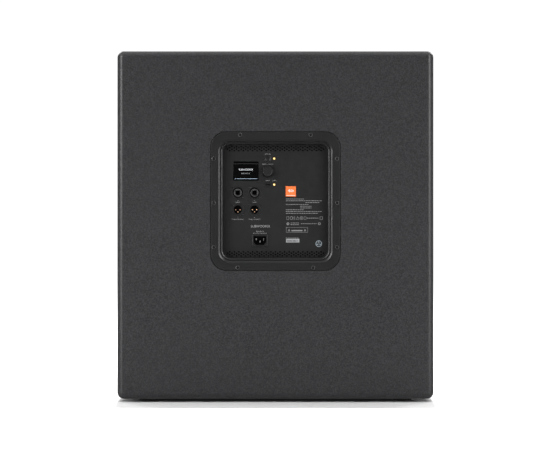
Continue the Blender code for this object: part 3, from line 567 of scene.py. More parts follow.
def realised(name, data, modifiers=()):
    """The evaluated mesh of object data, welded, with nothing left behind."""
    obj = bpy.data.objects.new(name, data)
    bpy.context.scene.collection.objects.link(obj)
    for kind, settings in modifiers:
        modifier = obj.modifiers.new(kind.lower(), kind)
        for key, value in settings.items():
            setattr(modifier, key, value)
    bpy.context.view_layer.update()
    depsgraph = bpy.context.evaluated_depsgraph_get()
    mesh = bpy.data.meshes.new_from_object(obj.evaluated_get(depsgraph), depsgraph=depsgraph)
    bpy.data.objects.remove(obj)
    bm = bmesh.new()
    bm.from_mesh(mesh)
    bmesh.ops.remove_doubles(bm, verts=bm.verts, dist=1e-7)
    bpy.data.meshes.remove(mesh)
    return mesh_from(name, bm)


def carved(name, mesh, cutters):
    """The mesh with each cutter taken away."""
    helpers = []
    for i, cutter in enumerate(cutters):
        helper = bpy.data.objects.new(f"{name}_cutter_{i}", cutter)
        bpy.context.scene.collection.objects.link(helper)
        helpers.append(helper)
    settings = {"operation": "DIFFERENCE", "solver": "EXACT"}
    result = realised(name, mesh, [("BOOLEAN", {**settings, "object": helper}) for helper in helpers])
    for helper in helpers:
        bpy.data.objects.remove(helper)
    return result


# ---------------------------------------------------------------- cabinet
CUTTER_REACH = 0.01  # how far a cutter stands past the face that it cuts
FLANGE_BACK = REAR_Y - 0.005


def facing_sideways(mesh, side, z):
    """Turns a mesh made facing +Y so that it faces +X or -X, and lifts it."""
    mesh.transform(Matrix.Translation((0, 0, z)) @ Matrix.Rotation(-side * math.pi / 2, 4, "Z"))
    return mesh


def cabinet():
    """The five outer panels under one unbroken coat, rounded along every outer edge."""
    inner_high = Vector((CABINET_HIGH.x - WALL, REAR_Y - WALL, CABINET_HIGH.z - WALL))
    inner_low = (-inner_high.x, CABINET_LOW.y - CUTTER_REACH, CABINET_LOW.z + WALL)
    cutters = [rounded_box("inside", inner_low, inner_high, 0)]
    grow = 2 * BEZEL_GAP
    rebate = outline(BEZEL_SIZE.x + grow, BEZEL_SIZE.z + grow, BEZEL_RADIUS + BEZEL_GAP)
    opening = outline(RECESS[0] + 0.0162, RECESS[1] + 0.0162, 0.0230)
    for points, depth in ((rebate, 0.0053), (opening, 0.05)):
        points = shifted(points, 0, AMP_Z)
        cutters.append(prism("rear_opening", points, REAR_Y - depth, REAR_Y + CUTTER_REACH))
    low, high = HANDLE_BOXES["right"]
    length, height = (high[axis] - low[axis] + 2 * HOLE_GAP for axis in (1, 2))
    plate = outline(length, height, HANDLE_CORNER + HOLE_GAP, 6)
    cup = outline(0.2006, 0.1006, 0.020, 6)
    outside = CABINET_HIGH.x + CUTTER_REACH
    for side in (-1, 1):
        for points, depth in ((plate, CABINET_HIGH.x - 0.0033), (cup, inner_high.x - CUTTER_REACH)):
            cutter = prism("handle_opening", points, *sorted((side * depth, side * outside)))
            cutters.append(facing_sideways(cutter, 1, (low.z + high.z) / 2))
    pole = (POLE_BOX[0] + POLE_BOX[1]) / 2
    for radius, depth in ((0.0383, 0.0033), (0.0183, 0.03)):
        points = [(0, -depth), (radius, -depth), (radius, CUTTER_REACH), (0, CUTTER_REACH)]
        cutters.append(turned("pole_cutter", points, 64, (pole.x, pole.y, CABINET_HIGH.z)))
    shell = rounded_box("shell", CABINET_LOW, CABINET_HIGH, EDGE_RADIUS, 8)
    shell = carved("coated_cabinet", shell, cutters)
    nodes = ("top_panel", "bottom_panel", "left_side_panel", "right_side_panel", "back_panel")
    even_shading(piece("coated_cabinet", shell, COATING, stands_for=nodes, slot="coated_wood"))


# ---------------------------------------------------------------- bezel and panel
def bezel():
    """Flat flange, a rounded step, a fine groove, a second rounded step, and the wall down to the panel."""
    step = [  # inset from the lip, height over the rear face, and the corner's radius
        (0.0, 0.0),
        (0.0005, 0.0, 0.0015),
        (0.0034, -0.0016, 0.0025),
        (0.0046, -0.0034, 0.0020),
        (0.0049, -0.0046, 0.0003),
        (0.0056, -0.0046, 0.0003),
        (0.0060, -0.0039, 0.0005),
        (0.0079, -0.0049, 0.0020),
        (0.0091, -0.0066, 0.0030),
        (0.00975, -0.0090),
    ]
    rings = []
    for shrink, ease, depth in (
        (0, 0, REAR_Y - FLANGE_BACK),
        (0, 0, 0.0010),
        (0.0003, 0.0001, 0.0004),
        (0.0010, 0.0005, 0.0001),
        (0.0018, 0.0009, 0),
    ):
        edge = outline(BEZEL_SIZE.x - shrink, BEZEL_SIZE.z - shrink, BEZEL_RADIUS - ease)
        rings.append((edge, REAR_Y - depth))
    travel = (LIP[0] - RECESS[0]) / 2
    for inset, drop in fillet(step):
        share = inset / travel
        rings.append((outline(*(a + (b - a) * share for a, b in zip(LIP, RECESS))), REAR_Y + drop))
    wall = outline(*PANEL_OUTLINE)
    rings += [(outline(*RECESS), BEZEL_SEAT), (wall, BEZEL_SEAT), (wall, FLANGE_BACK)]
    sink = [(0, -0.010), (0.0021, -0.010), (0.0021, -0.0026), (0.0040, -0.0026), (0.0040, -0.0004)]
    sink += [(0.0050, 0.0006), (0, 0.0006)]
    holes = []
    for node in BEZEL_SCREWS:
        spot = centre(node)
        holes.append(turned("countersink", sink, 24, (spot.x, REAR_Y, spot.z - AMP_Z), "Y"))
    frame = carved("amp_bezel", loft("amp_bezel", rings, 30), holes)
    frame.transform(Matrix.Translation((0, 0, AMP_Z)))
    obj = piece("moulded_bezel", frame, BEZEL_PLASTIC, stands_for=("amp_bezel",), slot="black_plastic")
    even_shading(obj)


def hexagon_key(across, low, high):
    """A cutter for a hexagon socket."""
    return lathe("socket", [(0, low), (across, low), (across, high), (0, high)], 6)


def bezel_screws():
    """Button heads with a hexagon socket, each turned by its own amount, in a ring of brighter metal: a
    painted highlight round each head.
    """
    turns = random.Random(7)
    highlight_rims = []
    for node in BEZEL_SCREWS:
        low, high = corners(node)
        spot = (low + high) / 2
        height = high.y - low.y
        radius = (high.x - low.x) / 2
        shoulder = height - 0.0021
        head = turned("head", [
            (0, 0),
            (0.0014, 0),
            (0.0018, 0.0012),
            (0.0018, shoulder),
            (radius, shoulder, 0.0001),
            (radius, height - 0.0014, 0.0006),
            (0.0028, height - 0.0002, 0.0010),
            (0.0016, height),
            (0, height),
        ], 32, fine=4)
        socket = hexagon_key(0.0016, height - 0.0013, height + 0.001)
        socket.transform(Matrix.Rotation(turns.uniform(0, 1), 4, "Z"))
        screw = placed(carved(node, head, [socket]), at(spot, low.y), "Y")
        piece(f"{node}_finished", screw, SCREW_BLACK, stands_for=(node,), slot="black_steel")
        # a thin ring of brighter metal round the head: a painted highlight of its edge
        rim = [(radius - 0.0008, 0), (radius, 0), (radius, 0.0002, 0.0001), (radius - 0.0006, 0.0002)]
        highlight_rims.append(turned("rim", rim, 40, at(spot, REAR_Y - 0.0002), "Y", 2))
    piece("bezel_screw_painted_highlights", merged("bezel_screw_painted_highlights", highlight_rims), SCREW_PAINTED_HIGHLIGHT)


VENT_COLUMN_STEP = 0.00437
VENT_ROW_STEP = 0.00262
VENT_HOLE_RADIUS = 0.00160
VENT_COLUMNS = 43
VENT_ROWS = 4
VENT_STRIP_Z = 0.1008


def vent_circles():
    """Staggered holes in two strips, without the outer corners."""
    middle = VENT_COLUMNS // 2
    circles = []
    for side in (1, -1):
        for row in range(VENT_ROWS):
            z = AMP_Z + side * (VENT_STRIP_Z + ((VENT_ROWS - 1) / 2 - row) * VENT_ROW_STEP)
            for column in range(VENT_COLUMNS):
                at_end = column in (0, VENT_COLUMNS - 1)
                if column % 2 == row % 2 and not (row == 0 and at_end):
                    circles.append(circle((column - middle) * VENT_COLUMN_STEP, z, VENT_HOLE_RADIUS, 14))
    return circles


def control_panel():
    holes = vent_circles()
    for spot in SOCKETS.values():
        holes.append(circle(spot.x, spot.z, SOCKET_RADIUS + HOLE_GAP, 40))
    holes.append(face_outline(DISPLAY_LOW, DISPLAY_HIGH, 0.0010, 3, 2 * HOLE_GAP))
    holes.append(face_outline(DATA_LOW, DATA_HIGH, DATA_CORNER, 4, 2 * HOLE_GAP))
    inlet_middle = (INLET_HIGH + INLET_LOW) / 2
    neck = outline(INLET_NECK[0] + 2 * HOLE_GAP, INLET_NECK[1] + 2 * HOLE_GAP, 0.0010, 3)
    holes.append(shifted(neck, inlet_middle.x, inlet_middle.z))
    holes.append(circle(KNOB.x, KNOB.z, 0.0048, 24))
    holes.append(circle(BUTTON.x, BUTTON.z, 0.0065, 32))
    for spot in LEDS.values():
        holes.append(circle(spot.x, spot.z, 0.0018, 16))
    edge = shifted(outline(*PANEL_OUTLINE), 0, AMP_Z)
    plate = flat("control_panel", edge, holes, PANEL_LOW.y, PANEL_HIGH.y)
    piece("control_panel", plate, PANEL_PAINT, stands_for=("amp_panel",), slot="panel_paint")


# ---------------------------------------------------------------- print on the panel
PRINT_THICKNESS = 0.00006
LABEL_THICKNESS = 0.00012
PRINT_Y = PANEL_Y + PRINT_THICKNESS
LABEL_PRINT_Y = PANEL_Y + LABEL_THICKNESS + PRINT_THICKNESS / 2


def lettering(text, x, z, height, y=PRINT_Y, width=None, weight=-0.012):
    """Flat letters facing +Y, read from behind the cabinet. z is the middle of the capitals."""
    curve = bpy.data.curves.new("lettering", "FONT")
    curve.body = text
    curve.offset = weight
    curve.resolution_u = 3
    curve.extrude = PRINT_THICKNESS / 2
    mesh = realised("lettering", curve)
    across, upward = ([vertex.co[axis] for vertex in mesh.vertices] for axis in (0, 1))
    tall = max(upward) - min(upward)
    scale_z = height / tall
    scale_x = width / (max(across) - min(across)) if width else scale_z
    middle = (max(across) + min(across)) / 2
    mesh.transform(Matrix.Translation((-middle, -min(upward) - tall / 2, 0)))
    mesh.transform(Matrix.Diagonal((scale_x, scale_z, 1, 1)))
    facing_rear = Matrix.Rotation(math.pi, 4, "Z") @ Matrix.Rotation(math.pi / 2, 4, "X")
    mesh.transform(Matrix.Translation((x, y, z)) @ facing_rear)
    return mesh


def printed(outer, holes=(), y=PRINT_Y):
    """A flat of print centred on a depth."""
    return flat("print", outer, holes, y - PRINT_THICKNESS / 2, y + PRINT_THICKNESS / 2)


def stroke(x_left, x_right, z, height, y=PRINT_Y):
    """A short printed bar between two X values, in place of a line of small text."""
    low, high = sorted((x_left, x_right))
    half = height / 2
    return printed([(low, z - half), (high, z - half), (high, z + half), (low, z + half)], (), y)


def on_panel(right, up):
    """A place on the panel from millimetres right of and above its centre, as seen from behind."""
    return -right / 1000, AMP_Z + up / 1000


def panel_lettering():
    small, port_z = 0.0019, DATA_HIGH.z + 0.0024
    letters = [
        lettering("POWER", BUTTON.x, BUTTON.z + 0.0089, 0.0020, width=0.0105),
        lettering("MAIN / MENU", KNOB.x, KNOB.z + 0.0142, small, width=0.0206),
        lettering("DATA", KNOB.x, port_z, small),
        lettering("LIMIT", LEDS["limit_led"].x - 0.0004, port_z, small),
    ]
    for sockets, text, width in ((COMBO_SOCKETS, "INPUT", 0.0078), (THRU_SOCKETS, "THRU OUTPUT", 0.0226)):
        for letter, spot in zip("AB", sockets.values()):
            letters.append(lettering(letter, spot.x, spot.z - 0.0153, 0.0017))
            letters.append(lettering(text, spot.x, spot.z - 0.0186, 0.0017, width=width))
    inlet_x = (INLET_LOW.x + INLET_HIGH.x) / 2
    letters.append(lettering("MAINS IN", inlet_x, INLET_HIGH.z + 0.0056, 0.0018, width=0.0144))
    letters.append(lettering("AC ONLY  50 / 60 Hz", inlet_x, INLET_HIGH.z + 0.0020, 0.0018, width=0.0265))
    letters.append(lettering("SUBWOOFER", 0.0287, AMP_Z - 0.0480, 0.0046, width=0.0368, weight=-0.016))
    piece("panel_lettering", merged("panel_lettering", letters), PRINT)


def dashes(start, stop, up, rng):
    """A line of small print as word-length bars, between two distances right of the panel's centre."""
    height, gap = 0.00110, 0.8
    shortest, longest = 1.6, 4.6
    bars = []
    while start < stop - gap:
        end = min(start + rng.uniform(shortest, longest), stop)
        x_start, z = on_panel(start, up)
        bars.append(stroke(x_start, on_panel(end, up)[0], z, height))
        start = end + gap
    return bars


def ring_mark(right, up, outer, inner, y=PRINT_Y):
    x, z = on_panel(right, up)
    holes = [circle(x, z, inner / 1000, 32)] if inner else []
    return printed(circle(x, z, outer / 1000, 32), holes, y)


def frame_mark(right, up, width, height, line, radius=0.2, y=PRINT_Y):
    """A rectangle's outline in millimetres, or a filled rectangle where the line's width is 0."""
    x, z = on_panel(right, up)
    holes = []
    if line:
        inner = (width - 2 * line, height - 2 * line, max(radius - line, 0.1))
        holes.append(shifted(outline(*(size / 1000 for size in inner), 3), x, z))
    return printed(shifted(outline(width / 1000, height / 1000, radius / 1000, 3), x, z), holes, y)


def triangle_mark(right, up, side, line):
    """An upright triangle's outline."""
    x, z = on_panel(right, up)
    reach = side / math.sqrt(3)
    outer, inner = (circle(x, z, size / 1000, 3, math.pi / 2) for size in (reach, reach - 2 * line))
    return printed(outer, [inner])


def information_block():
    """Stand-ins for the small print: word-length bars, plain shapes, a framed bar and a blank sticker."""
    rng = random.Random(3)
    bars = []
    for start, end, up in (
        (19.9, 55.3, 4.2),
        (19.9, 88.4, 0.8),
        (57.6, 84.7, -2.6),
        (19.9, 64.1, -6.3),
        (47.6, 69.0, -9.6),
        (47.6, 69.0, -12.9),
        (19.9, 54.2, -16.4),
        (19.9, 88.4, -19.7),
        (19.9, 81.0, -23.2),
        (60.0, 82.0, -32.3),
        (29.0, 44.6, -41.6),
        (29.0, 44.6, -44.8),
        (48.6, 79.0, -43.1),
        (19.9, 45.0, -70.4),
    ):
        bars += dashes(start, end, up, rng)
    piece("small_print", merged("small_print", bars), PRINT_FAINT)
    upper, middle, lower = -32.3, -43.1, -54.9
    marks = [
        frame_mark(23.6, upper, 4.6, 6.6, 0.55),
        ring_mark(30.6, upper, 3.1, 2.3),
        frame_mark(36.2, upper, 2.2, 6.0, 0.5),
        triangle_mark(42.4, upper - 0.6, 7.0, 0.55),
        ring_mark(49.6, upper, 3.2, 2.5),
        ring_mark(49.6, upper, 1.2, 0.6),
        frame_mark(56.6, upper, 4.6, 5.6, 0.5),
        frame_mark(87.6, upper, 5.4, 6.0, 0.6),
        ring_mark(24.0, middle, 2.7, 1.2),
        ring_mark(84.0, middle, 2.5, 1.3),
        frame_mark(41.2, lower, 41.6, 9.6, 0.5),
        frame_mark(41.2, lower - 1.3, 21.0, 2.4, 0),
        triangle_mark(26.0, lower - 0.9, 5.0, 0.9),
        triangle_mark(56.6, lower - 0.9, 5.0, 0.9),
    ]
    piece("generic_marks", merged("generic_marks", marks), PRINT_FAINT)


def sticker(name, right, up, width, height, look):
    """A thin label with softened edges."""
    x, z = on_panel(right, up)
    low = (x - width / 2000, PANEL_Y, z - height / 2000)
    high = (x + width / 2000, PANEL_Y + LABEL_THICKNESS, z + height / 2000)
    piece(name, rounded_box(name, low, high, 0.00003, 1), look)


def level_label():
    """An orange label with plain level bars."""
    right = 29.4
    sticker("orange_label", right, 18.7, 19.4, 19.6, PRINT_ORANGE)
    bars = [frame_mark(right, 10.9, 16.6, 0.9, 0, y=LABEL_PRINT_Y)]
    for i, tall in enumerate((3.0, 5.6, 4.2, 6.2, 3.6)):
        bars.append(frame_mark(right + (i - 2) * 2.3, 19.9, 1.1, tall, 0, y=LABEL_PRINT_Y))
    piece("level_bars", merged("level_bars", bars), PRINT_WHITE)


def barred_sticker():
    """A grey sticker with upright lines of several widths."""
    sticker("barred_sticker", 33.1, -75.4, 25.4, 7.0, STICKER_GREY)
    rng = random.Random(5)
    lines = []
    start, end = 22.4, 43.0
    while start < end:
        width = rng.choice((0.35, 0.6, 0.9))
        lines.append(frame_mark(start + width / 2, -75.9, width, 3.2, 0, 0.02, LABEL_PRINT_Y))
        start += width + rng.choice((0.6, 1.0))
    piece("sticker_lines", merged("sticker_lines", lines), STICKER_LINE)


def round_sticker():
    """A dark disc with a ring and three spokes."""
    right, up = 82.9, -81.2
    x, z = on_panel(right, up)
    thick = LABEL_THICKNESS
    points = [(0, 0), (0.0066, 0), (0.0066, thick, 0.00005), (0, thick)]
    piece("round_sticker", turned("disc", points, 48, (x, PANEL_Y, z), "Y", 2), STICKER_DARK)
    marks = [ring_mark(right, up, 6.0, 5.2, LABEL_PRINT_Y)]
    inner, outer, half = 0.0012, 0.0050, 0.0005
    for angle in full_turn(3, math.pi / 2):
        cos, sin = math.cos(angle), math.sin(angle)
        corner_set = ((inner, half), (outer, half), (outer, -half), (inner, -half))
        spoke = [(cos * reach - sin * off, sin * reach + cos * off) for reach, off in corner_set]
        marks.append(printed(shifted(spoke, x, z), (), LABEL_PRINT_Y))
    piece("round_sticker_marks", merged("round_sticker_marks", marks), STICKER_BLUE)


# ---------------------------------------------------------------- display and controls
def display():
    """A dark glossy window with what it shows laid on its face."""
    glass = rounded_box("display_glass", DISPLAY_LOW, DISPLAY_HIGH, 0.0005, 2)
    piece("display_glass", glass, WINDOW, stands_for=("display_window",), slot="screen_glass")
    x, z = (DISPLAY_LOW.x + DISPLAY_HIGH.x) / 2, DISPLAY_HIGH.z
    y = DISPLAY_HIGH.y + PRINT_THICKNESS / 2
    piece("screen_title", lettering("SUBWOOFER", x, z - 0.0157, 0.0034, y, 0.0272, -0.018), SCREEN_WHITE)
    piece("screen_text", lettering("READY", x, z - 0.0231, 0.0023, y, 0.0170, -0.010), SCREEN_DIM)
    piece("screen_divider", stroke(x - 0.0232, x + 0.0232, z - 0.0044, 0.0003, y), SCREEN_FAINT)
    bar_z = z - 0.0330
    bar = [
        stroke(x - 0.0214, x + 0.0176, bar_z, 0.0006, y),
        printed(circle(x + 0.0200, bar_z, 0.0007, 32), (), y),
    ]
    piece("screen_bar", merged("screen_bar", bar), SCREEN_BLUE)


def knob():
    """Soft-touch cap with a finely fluted skirt and a shallow dish on top."""
    low, high = corners("menu_knob")
    tall = high.y - low.y
    skirt = PANEL_Y + 0.0012 - low.y
    radius = (high.x - low.x) / 2
    bore = tall - 0.0032
    cap = lathe("knob_cap", fillet([
        (0, 0),
        (0.0030, 0, 0.0003),
        (0.0030, bore),
        (0.0092, bore),
        (0.0102, skirt),
        (radius, skirt, 0.0002),
        (radius - 0.0001, skirt + 0.0012, 0.0008),
        (radius - 0.0008, skirt + 0.0024, 0.0010),
        (0.0098, tall, 0.0010),
        (0.0082, tall, 0.0004),
        (0.0076, tall - 0.0005, 0.0010),
        (0, tall - 0.0010),
    ], 5), 180, 40)
    flutes, flute_depth, fluted_from = 36, 0.00022, 0.0092
    for vertex in cap.vertices:
        x, y, z = vertex.co
        distance = math.hypot(x, y)
        rise = min(max((z - skirt - 0.0030) / 0.0015, 0), 1)
        share = rise * min(max((tall - 0.0016 - z) / 0.0010, 0), 1)
        if distance > fluted_from and share > 0:
            depth = flute_depth * share * (0.5 + 0.5 * math.cos(flutes * math.atan2(y, x))) ** 2
            vertex.co.x -= depth * x / distance
            vertex.co.y -= depth * y / distance
    placed(cap, at(KNOB, low.y), "Y")
    piece("knob_cap", cap, KNOB_RUBBER, "menu_knob", ("menu_knob",), "black_plastic")


def button():
    """A dished push button with a thin collar round its hole."""
    low, high = corners("power_button")
    tall = high.y - low.y
    radius = 0.0062
    collar = PANEL_LOW.y - 0.0003 - low.y
    cap = turned("button_cap", [
        (0, 0),
        (0.0020, 0, 0.0002),
        (0.0020, collar - 0.0012),
        (0.0072, collar - 0.0012, 0.0002),
        (0.0072, collar, 0.0002),
        (radius, collar),
        (radius, tall, 0.0007),
        (0.0052, tall, 0.0006),
        (0.0040, tall - 0.0007, 0.0020),
        (0, tall - 0.0010),
    ], 72, at(BUTTON, low.y), "Y", 5)
    piece("power_button_cap", cap, BUTTON_PLASTIC, "power_button", ("power_button",), "black_plastic")
    ring = [(0.0066, 0), (0.0075, 0), (0.0075, 0.0004, 0.0003), (0.0066, 0.0004, 0.0001)]
    collar_ring = turned("collar", ring, 72, at(BUTTON, PANEL_Y), "Y", 4, True)
    piece("power_button_collar", collar_ring, COLLAR_PLASTIC)


def indicator(node):
    """A lit lens with an amber collar whose faint glow is painted light, a halo spread round the lens."""
    low, high = corners(node)
    spot = LEDS[node]
    radius = (high.x - low.x) / 2
    tall = high.y - low.y
    lens = [(0, 0), (radius, 0, 0.0002), (radius, tall - 0.0010, 0.0006)]
    lens += [(radius * 0.75, tall - 0.0002, 0.0015), (0, tall)]
    look = lit_lens(f"{node}_glow", at(spot, high.y), radius)
    mesh = turned("lens", lens, 40, at(spot, low.y), "Y", 5)
    piece(f"{node}_lens", mesh, look, stands_for=(node,), slot="amber_lens")
    # the collar's faint amber glow is painted light: a halo round the lit lens
    inner, outer = radius + 0.0001, radius + 0.0005
    collar = [(inner, 0), (outer, 0), (outer, 0.00025, 0.0002), (inner, 0.00035, 0.0001)]
    piece(f"{node}_collar", turned("halo", collar, 40, at(spot, PANEL_Y), "Y", 3, True), LED_PAINTED_HALO)


def service_port():
    """A small surround with a flat metal-lined slot."""
    low, high = DATA_LOW, DATA_HIGH
    middle = (low + high) / 2

    def ring(width, height, radius, steps=5):
        return shifted(outline(width, height, radius, steps), middle.x, middle.z)

    floor = low.y + 0.0021
    body = prism("data_surround", face_outline(low, high, DATA_CORNER, 6), low.y, high.y)
    slot = ring(0.0090, 0.0032, 0.0015)
    mouth = ring(0.0100, 0.0042, 0.0019)
    inner = ring(0.0084, 0.0026, 0.0012)
    levels = [(slot, low.y + 0.002), (slot, high.y - 0.0006), (mouth, high.y + 0.0005)]
    cutter = loft("slot", levels, ends=True)
    body = carved("data_surround", body, [cutter])
    piece("data_surround", body, BUTTON_PLASTIC, stands_for=("data_port",), slot="black_plastic")
    front = high.y - 0.0010
    liner = loft("liner", [(slot, floor), (slot, front), (inner, front), (inner, floor)])
    piece("data_liner", liner, COLLAR_PLASTIC)
    tongue = prism("data_tongue", ring(0.0062, 0.0007, 0.0002, 2), low.y + 0.0015, high.y - 0.0016)
    piece("data_tongue", tongue, SOCKET_PLASTIC)


# ---------------------------------------------------------------- screws and sockets
def cross_head(points, reach, half_width, low, high, fine):
    """A turned screw head with a cross recess cut between two heights."""
    head = turned("head", points, 28, fine=fine)
    slots = []
    for turn in (0.3, 0.8):
        slot = rounded_box("slot", (-reach, -half_width, low), (reach, half_width, high), 0)
        slot.transform(Matrix.Rotation(math.pi * turn, 4, "Z"))
        slots.append(slot)
    return carved("head", head, slots)


def pan_screw(radius, height):
    """A domed screw head, its seat at z = 0."""
    points = [(0, -0.0004), (radius, -0.0004), (radius, height * 0.5, radius * 0.5), (0, height)]
    return cross_head(points, radius * 0.6, radius * 0.11, height * 0.35, height + 0.001, 4)


def flange_screws(node):
    """Two small screws on a diagonal of a socket."""
    reach = 0.0098
    spot = SOCKETS[node]
    heads = []
    for side in (1, -1):
        points = [(0, -0.0005), (0.0016, -0.0005), (0.0016, 0.0003, 0.0003), (0, 0.0007)]
        head = cross_head(points, 0.0010, 0.00018, 0.0001, 0.0012, 3)
        heads.append(placed(head, (spot.x + side * reach, PANEL_Y, spot.z + side * reach), "Y"))
    piece(f"{node}_screws", merged("heads", heads), SCREW_BLACK, slot="black_steel")


def thin_cup(inside, outside, floor, mouth, wall, base):
    """The section of a near-black lining, painted shade, between two radii and two depths, its wall and its
    base this thick.
    """
    bore, top = outside - wall, base - floor
    outer = [(inside, -floor), (outside, -floor), (outside, -mouth)]
    return [*outer, (bore, -mouth), (bore, top), (inside, top)]


def combo_socket(node):
    """A ring-shaped slot round a post, and in the post a jack hole with four keyways."""
    face = at(SOCKETS[node], corners(node)[1].y)
    shell = turned("shell", [
        (SOCKET_RADIUS, -SOCKET_DEPTH),
        (SOCKET_RADIUS, 0, 0.0004),
        (0.0100, 0, 0.0003),
        (0.0097, -0.0007, 0.0004),
        (0.0097, -0.0115),
        (0.0079, -0.0115),
        (0.0079, -SOCKET_DEPTH),
    ], 80, face, "Y", 3, True)
    piece(f"{node}_shell", shell, SOCKET_PLASTIC, stands_for=(node,), slot="black_plastic")
    post = turned("post", [
        (0, -SOCKET_DEPTH),
        (0.0078, -SOCKET_DEPTH),
        (0.0078, -0.0116),
        (0.0076, -0.0112),
        (0.0076, -0.0009, 0.0004),
        (0.0071, -0.0002, 0.0004),
        (0.0064, -0.0004, 0.0006),
        (0.0052, -0.0026, 0.0010),
        (0.0044, -0.0060, 0.0006),
        (0.0044, -0.0142),
        (0, -0.0142),
    ], 80)
    key = [(0, -0.010), (0.0012, -0.010), (0.0012, 0.001), (0, 0.001)]
    keys = [turned("key", key, 20, (*polar(0.0050, angle), 0)) for angle in full_turn(4, math.pi / 4)]
    piece(f"{node}_post", placed(carved("post", post, keys), face, "Y"), SOCKET_POST)
    # near-black cups in the jack hole and the ring slot: painted shade
    well = lathe("well", thin_cup(0, 0.0043, 0.0141, 0.0066, 0.0002, 0.0002), 40)
    slot = lathe("slot", thin_cup(0.0080, 0.0096, 0.0114, 0.0010, 0.0002, 0.0002), 80)
    shade_lining = merged("shade_lining", [well, slot])
    piece(f"{node}_lining", placed(shade_lining, face, "Y"), SOCKET_PAINTED_SHADE)
    flange_screws(node)


def thru_socket(node):
    """A round bore with a keyway and three plated pins."""
    spot = SOCKETS[node]
    face = at(spot, corners(node)[1].y)
    bore = 0.0080
    body = turned("thru", [
        (0, -SOCKET_DEPTH),
        (SOCKET_RADIUS, -SOCKET_DEPTH),
        (SOCKET_RADIUS, 0, 0.0003),
        (0.0086, 0, 0.0003),
        (bore, -0.0008, 0.0003),
        (bore, -0.0020),
        (0, -0.0020),
    ], 80)
    hole = lathe("bore", [(0, -0.0130), (bore, -0.0130), (bore, 0.0010), (0, 0.0010)], 80)
    key = rounded_box("key", (-0.0011, 0.0070, -0.0120), (0.0011, 0.0087, 0.001), 0)
    body = placed(carved("thru", body, [hole, key]), face, "Y")
    piece(f"{node}_body", body, SOCKET_PLASTIC, stands_for=(node,), slot="black_plastic")
    # a near-black cup in the bore: painted shade
    shade_lining = thin_cup(0, 0.00795, 0.0129, 0.0010, 0.00025, 0.0005)
    piece(f"{node}_lining", turned("shade_lining", shade_lining, 80, face, "Y"), SOCKET_PAINTED_SHADE)
    pin = [(0, -0.0124), (0.0010, -0.0124), (0.0010, -0.0013, 0.0006), (0, -0.0010)]
    pins = []
    for dx, dz in ((0.0041, -0.0003), (-0.0041, -0.0003), (0, -0.0042)):
        pins.append(turned("pin", pin, 24, (spot.x + dx, face[1], spot.z + dz), "Y", 4))
    piece(f"{node}_pins", merged("pins", pins), GOLD)
    flange_screws(node)


def inlet():
    """Appliance inlet: a rounded flange, a cavity with two cut corners, and three plated blades."""
    low, high = INLET_LOW, INLET_HIGH
    x, z = (low.x + high.x) / 2, (low.z + high.z) / 2
    face = high.y
    floor = face - 0.0165
    half_x, half_z = 0.0119, 0.0083
    cut = 0.0048  # of the two lower corners
    cavity = fillet([
        (half_x, half_z, 0.0015),
        (-half_x, half_z, 0.0015),
        (-half_x, cut - half_z, 0.0012),
        (cut - half_x, -half_z, 0.0012),
        (half_x - cut, -half_z, 0.0012),
        (half_x, cut - half_z, 0.0012),
    ], 4, True)

    def scaled(wide, tall):
        return [(px * wide, pz * tall) for px, pz in cavity]

    width, height = high.x - low.x, high.z - low.z
    neck = outline(*INLET_NECK)
    flange = outline(width, height, 0.0032)
    body = loft("inlet", [
        (neck, floor - 0.003),
        (neck, PANEL_Y + HOLE_GAP),
        (flange, PANEL_Y + HOLE_GAP),
        (flange, face - 0.0008),
        (outline(width - 0.0006, height - 0.0006, 0.0029), face - 0.0002),
        (outline(width - 0.0014, height - 0.0014, 0.0025), face),
    ], 30, ends=True)
    cutter = [(cavity, floor), (cavity, face - 0.0007), (scaled(1.05, 1.07), face + 0.0003)]
    body = carved("inlet", body, [loft("cavity", cutter, ends=True)])
    # a near-black cup in the cavity: painted shade
    inside, outside, front = scaled(0.965, 0.965), scaled(0.985, 0.985), face - 0.0016
    cup = [(inside, floor + 0.0004), (inside, front), (outside, front), (outside, floor + 0.0001)]
    shade_lining = placed(loft("shade_lining", cup, ends=True), (x, 0, z))
    piece("mains_inlet_shade_lining", shade_lining, SOCKET_PAINTED_SHADE)
    body = placed(body, (x, 0, z))
    piece("mains_inlet_body", body, SOCKET_PLASTIC, stands_for=("mains_inlet",), slot="black_plastic")
    half = Vector((0.0008, 0, 0.002))
    blades = []
    for dx, dz in ((-0.007, 0.002), (0.007, 0.002), (0, -0.002)):
        root, tip = (Vector((x + dx, y, z + dz)) for y in (floor - 0.0005, face - 0.0030))
        blades.append(rounded_box("blade", root - half, tip + half, 0.0005, 3))
    piece("mains_inlet_blades", merged("mains_inlet_blades", blades), NICKEL)


# ---------------------------------------------------------------- feet, handles and pole socket
def foot(node):
    """Rubber disc with a moulded well round its fixing screw."""
    low, high = corners(node)
    middle = (low + high) / 2
    top = high.z - low.z
    radius = (high.x - low.x) / 2
    well = 0.0034
    disc = turned("foot", [
        (0, well),
        (0.0052, well, 0.0004),
        (0.0060, 0, 0.0006),
        (0.0098, 0, 0.0002),
        (0.0102, 0.0005, 0.0002),
        (0.0110, 0.0005, 0.0002),
        (0.0114, 0, 0.0002),
        (radius - 0.0020, 0, 0.0010),
        (radius, top, 0.0003),
        (0, top),
    ], 72, (middle.x, middle.y, low.z), fine=4)
    piece(f"{node}_rubber", disc, RUBBER, stands_for=(node,), slot="rubber")
    screw = placed(pan_screw(0.0042, 0.0020), (middle.x, middle.y, low.z + well), "-Z")
    piece(f"{node}_screw", screw, ZINC)


